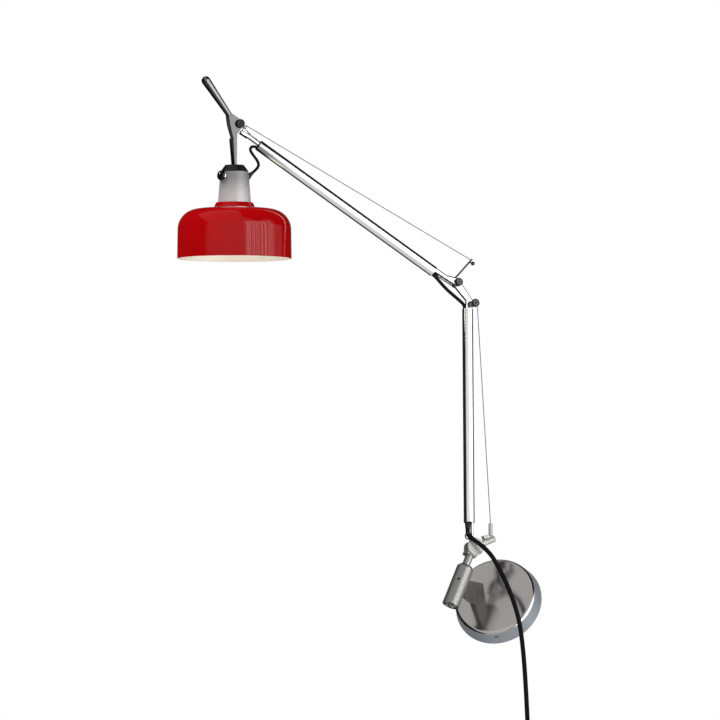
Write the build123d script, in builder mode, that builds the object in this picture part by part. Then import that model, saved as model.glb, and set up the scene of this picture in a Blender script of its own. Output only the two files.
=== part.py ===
from build123d import *
import os
from math import cos, dist, pi, radians, sin, tan

# Articulating wall lamp, in millimetres.  The origin is the centre of the canopy's back, on the
# wall.  The wall is the XZ plane, +Z is up and the lamp stands out towards -Y.
os.makedirs("parts", exist_ok=True)

# ---------------------------------------------------------------- driving dimensions
# fits
RUNNING_FIT = 0.05  # radial, a pin turning in its bore
PRESS_FIT = 0.02  # radial, a pin held in its bore
SIDE_GAP = 0.3  # between faces that slide past each other

# wall canopy and back plate
CANOPY_RADIUS = 65.3
CANOPY_FRONT_RADIUS = 60.3
CANOPY_DEPTH = 25.0
CANOPY_BEAD = 5.3
CANOPY_WALL = 1.5
PLATE_THICKNESS = 2.5
PLATE_CLEARANCE = 0.4
WALL_HOLE_SPACING = 80.0
WALL_HOLE_RADIUS = 2.5
GRUB_RADIUS = 3.5
GRUB_DEPTH = 14.0
GRUB_SOCKET = 1.6
LUG_MARGIN = 1.0
LUG_WIDTH = 9.0
LUG_HEIGHT = 6.0

# bracket: fin and barrel
BRACKET_TILT = 22.0
BARREL_OFFSET = 28.0
BARREL_REACH = 70.0
BARREL_RADIUS = 12.5
BARREL_LENGTH = 63.0
BARREL_TOP = 6.5
BARREL_EDGE = 2.5
FIN_THICKNESS = 8.0
FIN_LOW = -20.0
FIN_LOW_AT_BARREL = -34.0
FIN_HIGH_AT_BARREL = -8.0
FIN_HIGH_AT_CANOPY = 15.0
FIN_SCREW_RADIUS = 2.0
FIN_SCREW_HEAD_RADIUS = 3.5
FIN_SCREW_HEAD = 2.4
FIN_SCREW_LENGTH = 16.0
FIN_SCREW_SPACING = 22.0
BUSH_RADIUS = 9.0
BUSH_LENGTH = 14.0
BUSH_FLANGE = 1.5
SET_SCREW_RADIUS = 2.0
SET_SCREW_LENGTH = 4.0
SET_SCREW_TURN = 9.0
SET_SCREW_HEIGHT = -18.0
END_SCREW_RADIUS = 10.0
END_SCREW_HEAD = 3.0
END_SCREW_RECESS = 3.4

# swing stem and base hinge
HINGE_TURN = 45.0
HINGE_HEIGHT = 39.5
PIVOT_PIN_RADIUS = 5.0
STEM_WIDTH = 9.0
CHEEK_RADIUS = 10.0
CHEEK_BACK = 7.7
CHEEK_FRONT = 2.2
KNUCKLE_DROP = 14.0
HINGE_SLOT_FLOOR = -6.5
DISC_RADIUS = 13.0
DISC_THICKNESS = 3.0
AXLE_RADIUS = 2.5
AXLE_HEAD_RADIUS = 4.5
AXLE_HEAD = 2.0
BASE_LEVER_ANGLE = -42.0
BASE_LEVER_RADIUS = 4.75
BASE_LEVER_START = 10.5
BASE_LEVER_LENGTH = 27.0
TERMINAL_PLACE = 30.8
TERMINAL_RADIUS = 3.0
TERMINAL_LENGTH = 18.0
TERMINAL_STUD_RADIUS = 1.5
CLAMP_PLACE = 24.0
CLAMP_LENGTH = 7.0
CLAMP_HEIGHT = 5.2
CLAMP_WIDTH = 9.0

# arms
TUBE_RADIUS = 8.0
TUBE_WALL = 1.2
LEAD_DIAMETER = 5.0
LEAD_OFFSET = 4.2
LEAD_JOIN_DEPTH = 8.0
ELBOW_LEAD_DEPTH = 5.0
HEAD_LEAD_DIAMETER = 4.2
LEAD_HOLE_CLEARANCE = 0.3
GROMMET_WALL = 0.9
GROMMET_LENGTH = 0.3
SPRING_RADIUS = 3.5
SPRING_WIRE = 1.1
SPRING_OFFSET = -3.0
SPRING_TO_FOOT = 15.0
WIRE_RADIUS = 0.6
FOOT_CLEARANCE = 0.05
WIRE_CLEARANCE = 0.1
LOWER_ANGLE = 23.35
EYE_RADIUS = 7.0
EYE_HALF = 4.0
LOWER_ROD_RADIUS = 2.2
LOWER_ROD_Y = 2.35
LOWER_TUBE_Y = 6.75
LOWER_TUBE_START = 36.3
LOWER_TUBE_END = 356.8
FOOT_LENGTH = 22.0
SLEEVE_ROOT_RADIUS = 4.2
SLEEVE_TIP_RADIUS = 3.6
SLEEVE_START = 45.0
SLEEVE_END = 27.0
GUIDE_RADIUS = 5.0
GUIDE_WIRE = 0.9
ELBOW_X = 395.5
ELBOW_Y = 22.5
LINK_BACK = -6.8
LINK_THICKNESS = 3.8
LINK_HUB_RADIUS = 6.8
LINK_WIDTH = 9.0
PULLEY_X = 366.3
PULLEY_Y = -4.0
PULLEY_RADIUS = 4.5
PULLEY_HALF = 1.7
PULLEY_AXLE_RADIUS = 1.5
KNOB_RADIUS = 6.0
KNOB_LENGTH = 5.2
KNOB_EDGE = 0.8
ELBOW_LEVER_RADIUS = 1.3
LEVER_BALL_RADIUS = 3.0

UPPER_ANGLE = 83.77
PRONG_HUB_RADIUS = 6.2
PRONG_BACK = 3.4
PRONG_FRONT = 3.8
UPPER_TUBE_Y = 8.8
UPPER_TUBE_START = 41.0
HEAD_KNOB_X = 406.2
UPPER_TUBE_END_BACK = 41.4
FORK_BLOCK_START = 30.0
FORK_TOP = 1.6
FORK_BOTTOM = 7.8
ELBOW_AXLE_RADIUS = 2.5
NUT_RADIUS = 4.2
NUT_LENGTH = 2.8
END_ROD_RADIUS = 3.4
END_ROD_OFFSET = -1.9
LUG_START_BACK = 22.2
LUG_END_BACK = 8.4
LUG_TOP = 0.8
LUG_BOTTOM = 11.2
LUG_HALF = 3.0
HEAD_PULLEY_BACK = 10.6
HEAD_PULLEY_Y = -2.2
HEAD_PULLEY_RADIUS = 2.2
HEAD_PULLEY_HALF = 1.2

# head
SWIVEL_ANGLE = -12.02
SWIVEL_AXIS_Y = 4.5
SWIVEL_PIN_RADIUS = 1.9
SWIVEL_EYE_RADIUS = 5.5
SHADE_ANGLE = 123.58
SHADE_X = -6.0
BRACKET_FRONT = 3.7
HEAD_KNOB_RADIUS = 6.3
HEAD_KNOB_LENGTH = 5.5
HEAD_AXLE_RADIUS = 2.0
HANDLE_TIP = (-54.5, 66.3)
HANDLE_ROOT = (-17.2, 14.4)
HANDLE_TIP_RADIUS = 6.6
HANDLE_ROOT_RADIUS = 4.4
HANDLE_Z = 5.0
HANDLE_SINK = 6.0
HEAD_STEM_BACK = -3.0
CAP_TOP = -60.0
CAP_TOP_RADIUS = 13.7
NECK_TOP = -70.0
NECK_TOP_RADIUS = 20.5
NECK_BOTTOM = -114.5
NECK_BOTTOM_RADIUS = 24.0
NECK_WALL = 1.5
SHADE_RADIUS = 83.1
SHADE_RIM = -196.0
SHADE_WALL = 1.2
SHADE_SHOULDER = 30.0
COLLAR_TOP_RADIUS = 27.0
COLLAR_FOOT_RADIUS = 30.0
COLLAR_FOOT = -121.5
SHADE_HOLE_RADIUS = 20.5
HOLDER_RADIUS = 18.2
HOLDER_TOP = -86.0
HOLDER_BOTTOM = -122.5
HOLDER_BORE = 14.2
RING_RADIUS = 24.0
RING_THICKNESS = 3.5
BULB_RADIUS = 30.0
BULB_CAP_RADIUS = 13.2
BULB_CAP_LENGTH = 25.0
BULB_TIP = -188.0
SWITCH_Y = -76.3
SWITCH_TURN = 22.0
SWITCH_KNOB_RADIUS = 7.0
SWITCH_KNOB_LENGTH = 4.0
SWITCH_KNOB_EDGE = 1.2
SWITCH_SHAFT_DEPTH = 5.0
SWITCH_SHAFT_RADIUS = 2.4
BEZEL_RADIUS = 7.2
BEZEL_SHANK_RADIUS = 4.2
BEZEL_THICKNESS = 1.4
BEZEL_SEAT = 0.7
BEZEL_SHANK_DEPTH = 7.0
RELIEF_Y = -76.5
RELIEF_ANGLE = 40.0
RELIEF_LENGTH = 8.0
RELIEF_STRAIGHT = 2.0
RELIEF_WALL = 0.28
RELIEF_TIP_WALL = 0.1

# supply cord, coil and plug
CORD_DIAMETER = 6.6
COIL_OUTER_RADIUS = 47.0
COIL_PITCH = 7.1
COIL_TURNS = 3
COIL_LEVEL = -276.0
TIE_THICKNESS = 1.2
TIE_HEIGHT = 9.0
TIE_CLEARANCE = 0.7
PLUG_WIDTH = 36.0
PLUG_THICKNESS = 14.0
PLUG_LENGTH = 33.0
PLUG_RELIEF_LENGTH = 12.0
PLUG_RELIEF_WALL = 0.7
PLUG_PIN_RADIUS = 2.0
PLUG_PIN_LENGTH = 19.0
PLUG_PIN_SPACING = 18.6

# ---------------------------------------------------------------- places along the upper arm
UPPER_TUBE_END = HEAD_KNOB_X - UPPER_TUBE_END_BACK
LUG_START = HEAD_KNOB_X - LUG_START_BACK
LUG_END = HEAD_KNOB_X - LUG_END_BACK
HEAD_PULLEY_X = HEAD_KNOB_X - HEAD_PULLEY_BACK

# ---------------------------------------------------------------- frames of the moving bodies
wall = Plane(origin=(0, 0, 0), x_dir=(1, 0, 0), z_dir=(0, -1, 0))
tilt = radians(BRACKET_TILT)
sideways = Vector(cos(tilt), 0, -sin(tilt))
stem_way = Vector(sin(tilt), 0, cos(tilt))
outward = Vector(0, -1, 0)
canopy_front = Vector(0, -CANOPY_DEPTH, 0)
bracket = Plane(origin=canopy_front, x_dir=sideways, z_dir=outward)
barrel_centre = canopy_front - sideways * BARREL_OFFSET + outward * BARREL_REACH
barrel = Plane(origin=barrel_centre, x_dir=sideways, z_dir=stem_way)

hinge_turn = radians(HINGE_TURN)
hinge_axis = sideways * sin(hinge_turn) + outward * cos(hinge_turn)
hinge_side = hinge_axis.cross(stem_way)
hinge_point = barrel_centre + stem_way * HINGE_HEIGHT
swing = Plane(origin=hinge_point, x_dir=hinge_side, z_dir=stem_way)
hinge = Plane(origin=hinge_point, x_dir=stem_way, z_dir=hinge_axis)


def arm_way(angle):
    """Direction in the hinge plane, counted from the stem towards the lamp's free side."""
    return stem_way * cos(radians(angle)) + hinge_side * sin(radians(angle))


lower = Plane(origin=hinge_point, x_dir=arm_way(LOWER_ANGLE), z_dir=hinge_axis)
base_lever_frame = Plane(origin=hinge_point, x_dir=arm_way(BASE_LEVER_ANGLE), z_dir=hinge_axis)
elbow_point = lower.from_local_coords((ELBOW_X, ELBOW_Y, 0))
upper = Plane(origin=elbow_point, x_dir=arm_way(UPPER_ANGLE), z_dir=hinge_axis)
head_point = upper.from_local_coords((HEAD_KNOB_X, 0, 0))
tilt_axis = hinge_axis.rotate(Axis((0, 0, 0), upper.x_dir), SWIVEL_ANGLE)
shade_way = upper.x_dir.rotate(Axis((0, 0, 0), tilt_axis), SHADE_ANGLE)
head = Plane(origin=head_point, x_dir=tilt_axis.cross(shade_way), z_dir=tilt_axis)
eye_frame = Plane(origin=head_point, x_dir=upper.x_dir, z_dir=tilt_axis)


def square_to(frame, x, y=0.0, z=0.0):
    """Plane square to the frame's x: its own x is the frame's y and its own y the frame's z."""
    return Plane(origin=frame.from_local_coords((x, y, z)), x_dir=frame.y_dir, z_dir=frame.x_dir)


def turning_plane(frame, x):
    """Plane for the half outline of a turned piece, whose axis is its own y direction."""
    return Plane(origin=frame.from_local_coords((x, 0, 0)), x_dir=frame.x_dir, z_dir=frame.z_dir)


def turning_axis(plane):
    """Axis of a turned piece that is drawn on the given plane."""
    return Axis(plane.origin, plane.y_dir)


def save(part_builder, name):
    """Label a finished piece and write its file."""
    part_builder.part.label = name
    export_step(part_builder.part, f"parts/{name}.step")


# ---------------------------------------------------------------- cords
def corner_radii(points):
    """Bend radius at each inner point: its arc takes 0.45 of the shorter run beside it."""
    radii = []
    for before, corner, after in zip(points, points[1:], points[2:]):
        run_in = corner - before
        run_out = after - corner
        half_turn = radians(run_in.get_angle(run_out)) / 2
        radii.append(0.45 * min(run_in.length, run_out.length) / tan(half_turn))
    return radii


def write_cord(points, diameter, name):
    """Tube of straight runs joined by tangent arcs, with its radii and volume printed."""
    radii = corner_radii(points)
    with BuildPart() as tube:
        with BuildLine() as route:
            FilletPolyline(*points, radius=radii)
        with BuildSketch(Plane(origin=points[0], z_dir=points[1] - points[0])):
            Circle(diameter / 2)
        sweep(path=route.wire())
    length = route.wire().length
    volume_share = tube.part.volume / (length * pi * diameter**2 / 4)
    print(name, "length", round(length, 1), "volume share", round(volume_share, 4))
    print(name, "radii", [round(radius, 1) for radius in radii])
    save(tube, name)
    return length


def write_straight(plane, length, radius, name):
    """Plain round rod that starts on the plane and runs along its normal."""
    with BuildPart() as rod:
        with BuildSketch(plane):
            Circle(radius)
        extrude(amount=length)
    save(rod, name)


# ================================================================ wall side
canopy_profile = Plane(origin=(0, 0, 0), x_dir=(1, 0, 0), z_dir=(0, 0, -1))
canopy_taper = (CANOPY_RADIUS - CANOPY_FRONT_RADIUS) / CANOPY_DEPTH


def inside_radius(depth):
    """Inner radius of the tapered canopy at a distance from the wall."""
    return CANOPY_RADIUS - canopy_taper * depth - CANOPY_WALL


plate_radius = inside_radius(PLATE_THICKNESS) - PLATE_CLEARANCE
lug_face = inside_radius(GRUB_DEPTH) - 2 * PLATE_CLEARANCE

with BuildPart() as wall_backplate:
    with BuildSketch(wall):
        Circle(plate_radius)
        with GridLocations(1, WALL_HOLE_SPACING, 1, 2):
            Circle(WALL_HOLE_RADIUS, mode=Mode.SUBTRACT)
    extrude(amount=PLATE_THICKNESS)
    with BuildSketch(wall.offset(PLATE_THICKNESS)):
        with Locations((0, LUG_HEIGHT / 2 - lug_face)):
            Rectangle(LUG_WIDTH, LUG_HEIGHT)
    extrude(amount=GRUB_DEPTH + LUG_MARGIN - PLATE_THICKNESS)
save(wall_backplate, "wall_backplate")

fin_screw_places = [(-BARREL_OFFSET, (FIN_LOW + FIN_HIGH_AT_CANOPY) / 2)]
grub_start = -inside_radius(GRUB_DEPTH) - CANOPY_WALL
grub_plane = Plane(origin=(0, -GRUB_DEPTH, grub_start), x_dir=(1, 0, 0), z_dir=(0, 0, 1))

with BuildPart() as canopy:
    with BuildSketch(canopy_profile):
        with BuildLine():
            FilletPolyline(
                (CANOPY_RADIUS, 0),
                (CANOPY_FRONT_RADIUS, CANOPY_DEPTH),
                (0, CANOPY_DEPTH),
                radius=CANOPY_BEAD,
            )
            FilletPolyline(
                (inside_radius(0), 0),
                (inside_radius(CANOPY_DEPTH - CANOPY_WALL), CANOPY_DEPTH - CANOPY_WALL),
                (0, CANOPY_DEPTH - CANOPY_WALL),
                radius=CANOPY_BEAD - CANOPY_WALL,
            )
            Line((CANOPY_RADIUS, 0), (inside_radius(0), 0))
            Line((0, CANOPY_DEPTH), (0, CANOPY_DEPTH - CANOPY_WALL))
        make_face()
    revolve(axis=Axis((0, 0, 0), (0, -1, 0)))
    with BuildSketch(bracket):
        with Locations(*fin_screw_places):
            with GridLocations(1, FIN_SCREW_SPACING, 1, 2):
                Circle(FIN_SCREW_RADIUS + PRESS_FIT)
    extrude(amount=-CANOPY_WALL, mode=Mode.SUBTRACT)
    with BuildSketch(grub_plane):
        Circle(GRUB_RADIUS + PRESS_FIT)
    extrude(amount=2 * CANOPY_WALL, mode=Mode.SUBTRACT)
save(canopy, "canopy")

with BuildPart() as canopy_grub_screw:
    with BuildSketch(grub_plane.offset(SIDE_GAP)):
        Circle(GRUB_RADIUS)
    extrude(amount=CANOPY_WALL + 2 * PLATE_CLEARANCE - SIDE_GAP)
    with BuildSketch(grub_plane.offset(SIDE_GAP)):
        RegularPolygon(GRUB_SOCKET, 6)
    extrude(amount=CANOPY_WALL - SIDE_GAP, mode=Mode.SUBTRACT)
save(canopy_grub_screw, "canopy_grub_screw")

barrel_bottom = BARREL_TOP - BARREL_LENGTH
set_screw_way = outward.rotate(Axis((0, 0, 0), stem_way), SET_SCREW_TURN)
set_screw_root = barrel_centre + stem_way * SET_SCREW_HEIGHT
set_screw_plane = Plane(origin=set_screw_root, x_dir=stem_way, z_dir=set_screw_way)
pin_bore = PIVOT_PIN_RADIUS + 1.5
fin_plane = Plane(
    origin=canopy_front - sideways * BARREL_OFFSET, x_dir=outward, z_dir=outward.cross(stem_way)
)

with BuildPart() as wall_bracket:
    with BuildSketch(barrel.offset(barrel_bottom)):
        Circle(BARREL_RADIUS)
    extrude(amount=BARREL_LENGTH)
    fillet(wall_bracket.edges().sort_by(Axis(barrel_centre, stem_way))[-1], BARREL_EDGE)
    with BuildSketch(fin_plane):
        with BuildLine():
            Polyline(
                (0, FIN_LOW),
                (BARREL_REACH, FIN_LOW_AT_BARREL),
                (BARREL_REACH, FIN_HIGH_AT_BARREL),
                (BARREL_REACH - BARREL_RADIUS, FIN_HIGH_AT_BARREL),
                (0, FIN_HIGH_AT_CANOPY),
                close=True,
            )
        make_face()
    extrude(amount=FIN_THICKNESS / 2, both=True)
    with BuildSketch(barrel.offset(barrel_bottom)):
        Circle(pin_bore)
    extrude(amount=BARREL_LENGTH, mode=Mode.SUBTRACT)
    with BuildSketch(barrel.offset(BARREL_TOP - BUSH_LENGTH)):
        Circle(BUSH_RADIUS + PRESS_FIT)
    extrude(amount=BUSH_LENGTH, mode=Mode.SUBTRACT)
    with BuildSketch(barrel.offset(barrel_bottom + END_SCREW_RECESS)):
        Circle(BUSH_RADIUS + PRESS_FIT)
    extrude(amount=BUSH_LENGTH, mode=Mode.SUBTRACT)
    with BuildSketch(barrel.offset(barrel_bottom)):
        Circle(END_SCREW_RADIUS + SIDE_GAP)
    extrude(amount=END_SCREW_RECESS, mode=Mode.SUBTRACT)
    with BuildSketch(set_screw_plane):
        Circle(SET_SCREW_RADIUS + PRESS_FIT)
    extrude(amount=BARREL_RADIUS, mode=Mode.SUBTRACT)
    with BuildSketch(bracket):
        with Locations(*fin_screw_places):
            with GridLocations(1, FIN_SCREW_SPACING, 1, 2):
                Circle(FIN_SCREW_RADIUS + PRESS_FIT)
    extrude(amount=FIN_SCREW_LENGTH - CANOPY_WALL, mode=Mode.SUBTRACT)
save(wall_bracket, "wall_bracket")

with BuildPart() as fin_screws:
    with BuildSketch(bracket.offset(-CANOPY_WALL)):
        with Locations(*fin_screw_places):
            with GridLocations(1, FIN_SCREW_SPACING, 1, 2):
                Circle(FIN_SCREW_RADIUS)
    extrude(amount=FIN_SCREW_LENGTH - SIDE_GAP)
    with BuildSketch(bracket.offset(-CANOPY_WALL)):
        with Locations(*fin_screw_places):
            with GridLocations(1, FIN_SCREW_SPACING, 1, 2):
                Circle(FIN_SCREW_HEAD_RADIUS)
    extrude(amount=-FIN_SCREW_HEAD)
save(fin_screws, "fin_screws")


def write_bush(start, length, name, flange_plane=None):
    """Plain bearing bush for the pivot pin, with a flange where one is named."""
    with BuildPart() as bush:
        with BuildSketch(barrel.offset(start)):
            Circle(BUSH_RADIUS)
            Circle(PIVOT_PIN_RADIUS + RUNNING_FIT, mode=Mode.SUBTRACT)
        extrude(amount=length)
        if flange_plane:
            with BuildSketch(flange_plane):
                Circle(BARREL_RADIUS - BARREL_EDGE)
                Circle(PIVOT_PIN_RADIUS + RUNNING_FIT, mode=Mode.SUBTRACT)
            extrude(amount=BUSH_FLANGE)
    save(bush, name)


write_bush(BARREL_TOP - BUSH_LENGTH, BUSH_LENGTH, "barrel_bush_top", barrel.offset(BARREL_TOP))
write_bush(barrel_bottom + END_SCREW_RECESS, BUSH_LENGTH, "barrel_bush_bottom")

with BuildPart() as barrel_set_screw:
    with BuildSketch(set_screw_plane.offset(pin_bore + SIDE_GAP)):
        Circle(SET_SCREW_RADIUS)
    extrude(amount=SET_SCREW_LENGTH)
    with BuildSketch(set_screw_plane.offset(pin_bore + SIDE_GAP + SET_SCREW_LENGTH)):
        RegularPolygon(SET_SCREW_RADIUS / 2, 6)
    extrude(amount=-SET_SCREW_LENGTH / 2, mode=Mode.SUBTRACT)
save(barrel_set_screw, "barrel_set_screw")

# ================================================================ swing stem
stem_bottom = BARREL_TOP + BUSH_FLANGE + SIDE_GAP
cheek_gap = EYE_HALF + SIDE_GAP
cheek_back_face = -cheek_gap - CHEEK_BACK
cheek_front_face = cheek_gap + CHEEK_FRONT
knuckle_centre = (cheek_back_face + cheek_front_face) / 2
knuckle_width = cheek_front_face - cheek_back_face
lever_boss = BASE_LEVER_RADIUS + 0.6

with BuildPart() as stem:
    with BuildSketch(barrel.offset(barrel_bottom + END_SCREW_RECESS)):
        Circle(PIVOT_PIN_RADIUS)
    extrude(amount=stem_bottom - barrel_bottom - END_SCREW_RECESS)
    with BuildSketch(swing.offset(stem_bottom - HINGE_HEIGHT)):
        with Locations((0, knuckle_centre)):
            Rectangle(STEM_WIDTH, STEM_WIDTH)
        Circle(PIVOT_PIN_RADIUS)
    extrude(amount=HINGE_HEIGHT - stem_bottom - CHEEK_RADIUS)
    with BuildSketch(hinge.offset(cheek_back_face)):
        Circle(CHEEK_RADIUS)
        with Locations((-KNUCKLE_DROP / 2, 0)):
            Rectangle(KNUCKLE_DROP, 1.5 * CHEEK_RADIUS)
        Circle(AXLE_RADIUS + PRESS_FIT, mode=Mode.SUBTRACT)
    extrude(amount=knuckle_width)
    with BuildSketch(hinge.offset(-cheek_gap)):
        Circle(EYE_RADIUS + 2 * SIDE_GAP)
        with Locations((HINGE_SLOT_FLOOR, 0)):
            Rectangle(3 * CHEEK_RADIUS, 3 * CHEEK_RADIUS, align=(Align.MIN, Align.CENTER))
    extrude(amount=2 * cheek_gap, mode=Mode.SUBTRACT)
    with BuildSketch(base_lever_frame.offset(-cheek_gap)):
        with Locations(((EYE_RADIUS + 2 * SIDE_GAP + BASE_LEVER_START) / 2, 0)):
            Rectangle(BASE_LEVER_START - EYE_RADIUS - 2 * SIDE_GAP, 2 * lever_boss)
    extrude(amount=2 * cheek_gap)
save(stem, "stem")

with BuildPart() as barrel_end_screw:
    with BuildSketch(barrel.offset(barrel_bottom + END_SCREW_RECESS - END_SCREW_HEAD)):
        Circle(END_SCREW_RADIUS)
    extrude(amount=END_SCREW_HEAD - SIDE_GAP)
    with BuildSketch(barrel.offset(barrel_bottom + END_SCREW_RECESS - END_SCREW_HEAD)):
        Rectangle(1.2 * END_SCREW_RADIUS, 1.6)
        Rectangle(1.6, 1.2 * END_SCREW_RADIUS)
    extrude(amount=END_SCREW_HEAD / 2, mode=Mode.SUBTRACT)
    with BuildSketch(barrel.offset(barrel_bottom + END_SCREW_RECESS - SIDE_GAP)):
        Circle(PIVOT_PIN_RADIUS)
    extrude(amount=SIDE_GAP)
save(barrel_end_screw, "barrel_end_screw")

with BuildPart() as hinge_disc:
    with BuildSketch(hinge.offset(cheek_front_face)):
        Circle(DISC_RADIUS)
    extrude(amount=DISC_THICKNESS)
    chamfer(hinge_disc.edges().sort_by(Axis(hinge_point, hinge_axis))[-1], 0.5)
    with BuildSketch(hinge.offset(cheek_front_face + DISC_THICKNESS)):
        with PolarLocations(DISC_RADIUS / 3, 2):
            Circle(0.8)
    extrude(amount=-DISC_THICKNESS / 2, mode=Mode.SUBTRACT)
save(hinge_disc, "hinge_disc")

with BuildPart() as hinge_axle:
    with BuildSketch(hinge.offset(cheek_back_face)):
        Circle(AXLE_RADIUS)
    extrude(amount=knuckle_width)
    with BuildSketch(hinge.offset(cheek_back_face - AXLE_HEAD)):
        Circle(AXLE_HEAD_RADIUS)
    extrude(amount=AXLE_HEAD)
save(hinge_axle, "hinge_axle")

terminal_root = base_lever_frame.from_local_coords((TERMINAL_PLACE, 0, 0))
terminal_plane = Plane(origin=terminal_root, x_dir=hinge_axis, z_dir=lower.x_dir)
stud_length = BASE_LEVER_RADIUS / sin(radians(LOWER_ANGLE - BASE_LEVER_ANGLE)) + 1.5
with BuildPart() as base_lever:
    with BuildSketch(square_to(base_lever_frame, BASE_LEVER_START)):
        Circle(BASE_LEVER_RADIUS)
    extrude(amount=BASE_LEVER_LENGTH)
    fillet(base_lever.edges().sort_by(Axis(hinge_point, base_lever_frame.x_dir))[-1], 1)
    with BuildSketch(terminal_plane):
        Circle(TERMINAL_STUD_RADIUS + PRESS_FIT)
    extrude(amount=2 * BASE_LEVER_RADIUS, mode=Mode.SUBTRACT)
save(base_lever, "base_lever")

with BuildPart() as lower_wire_terminal:
    with BuildSketch(terminal_plane):
        Circle(TERMINAL_STUD_RADIUS)
    extrude(amount=stud_length)
    with BuildSketch(terminal_plane.offset(stud_length)):
        Circle(TERMINAL_RADIUS)
    extrude(amount=TERMINAL_LENGTH)
    fillet(lower_wire_terminal.edges().sort_by(Axis(terminal_root, lower.x_dir))[-1], 0.6)
save(lower_wire_terminal, "lower_wire_terminal")

with BuildPart() as wire_clamp_block:
    with BuildSketch(base_lever_frame.offset(-CLAMP_WIDTH / 2)):
        with Locations((CLAMP_PLACE, BASE_LEVER_RADIUS + CLAMP_HEIGHT / 2)):
            Rectangle(CLAMP_LENGTH, CLAMP_HEIGHT)
    extrude(amount=CLAMP_WIDTH)
save(wire_clamp_block, "wire_clamp_block")

# ================================================================ lower arm
tube_bore = TUBE_RADIUS - TUBE_WALL
foot_radius = tube_bore - FOOT_CLEARANCE
lead_radius = LEAD_DIAMETER / 2
lead_room = LEAD_OFFSET - lead_radius - SIDE_GAP


def cut_foot(limit):
    """Cut the sketched round foot back to the side of the tube that the lead leaves free."""
    with Locations((limit, 0)):
        Rectangle(
            2 * foot_radius, 2 * foot_radius, align=(Align.MIN, Align.CENTER), mode=Mode.SUBTRACT
        )


sleeve_y = LOWER_TUBE_Y + tube_bore - SLEEVE_ROOT_RADIUS - 0.1
with BuildPart() as lower_end_rod:
    with BuildSketch(lower.offset(-EYE_HALF)):
        Circle(EYE_RADIUS)
    extrude(amount=2 * EYE_HALF)
    with BuildSketch(square_to(lower, 0, LOWER_ROD_Y)):
        Circle(LOWER_ROD_RADIUS)
    extrude(amount=LOWER_TUBE_START + FOOT_LENGTH / 2)
    with BuildSketch(lower.offset(-EYE_HALF)):
        Circle(AXLE_RADIUS + RUNNING_FIT)
    extrude(amount=2 * EYE_HALF, mode=Mode.SUBTRACT)
    with BuildSketch(square_to(lower, LOWER_TUBE_START, LOWER_TUBE_Y)):
        Circle(foot_radius)
        cut_foot(sleeve_y - LOWER_TUBE_Y - SLEEVE_ROOT_RADIUS - SIDE_GAP)
    extrude(amount=FOOT_LENGTH)
save(lower_end_rod, "lower_end_rod")


def write_tube(frame, start, end, centre_y, name):
    """Open arm tube with softened mouths."""
    with BuildPart() as tube:
        with BuildSketch(square_to(frame, start, centre_y)):
            Circle(TUBE_RADIUS)
            Circle(tube_bore, mode=Mode.SUBTRACT)
        extrude(amount=end - start)
        mouths = tube.edges().filter_by(GeomType.CIRCLE)
        chamfer([edge for edge in mouths if edge.radius > tube_bore + 0.1], 0.4)
    save(tube, name)


def write_spring(frame, start, end, centre_y, wire_route, name):
    """Tension spring as a plain sleeve, with the wire that pulls it."""
    with BuildPart() as spring:
        with BuildSketch(square_to(frame, start, centre_y + SPRING_OFFSET)):
            Circle(SPRING_RADIUS)
            Circle(SPRING_RADIUS - SPRING_WIRE, mode=Mode.SUBTRACT)
        extrude(amount=end - start)
        with BuildSketch(square_to(frame, end, centre_y + SPRING_OFFSET)):
            Circle(SPRING_RADIUS)
        extrude(amount=SPRING_WIRE)
        begin = frame.from_local_coords(wire_route[0])
        finish = frame.from_local_coords(wire_route[1])
        with BuildSketch(Plane(origin=begin, z_dir=finish - begin)):
            Circle(WIRE_RADIUS)
        extrude(amount=(finish - begin).length)
    save(spring, name)


write_tube(lower, LOWER_TUBE_START, LOWER_TUBE_END, LOWER_TUBE_Y, "lower_tube")
lower_spring_end = LOWER_TUBE_END - FOOT_LENGTH - SPRING_TO_FOOT
lower_wire_inside = (PULLEY_X, PULLEY_Y + PULLEY_RADIUS + WIRE_RADIUS + WIRE_CLEARANCE, 0)
write_spring(
    lower, LOWER_TUBE_START + FOOT_LENGTH, lower_spring_end, LOWER_TUBE_Y,
    ((lower_spring_end, LOWER_TUBE_Y + SPRING_OFFSET, 0), lower_wire_inside), "lower_spring",
)

with BuildPart() as exit_sleeve:
    with BuildSketch(square_to(lower, SLEEVE_END, sleeve_y)):
        Circle(SLEEVE_TIP_RADIUS)
    with BuildSketch(square_to(lower, LOWER_TUBE_START, sleeve_y)):
        Circle(SLEEVE_ROOT_RADIUS)
    loft()
    with BuildSketch(square_to(lower, LOWER_TUBE_START, sleeve_y)):
        Circle(SLEEVE_ROOT_RADIUS)
    extrude(amount=SLEEVE_START - LOWER_TUBE_START)
save(exit_sleeve, "exit_sleeve")

lower_lead_y = LOWER_TUBE_Y + LEAD_OFFSET
elbow_lead_start = LOWER_TUBE_END - LEAD_JOIN_DEPTH
write_straight(
    square_to(lower, SLEEVE_START, lower_lead_y), elbow_lead_start - SLEEVE_START, lead_radius,
    "lower_tube_lead",
)

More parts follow.
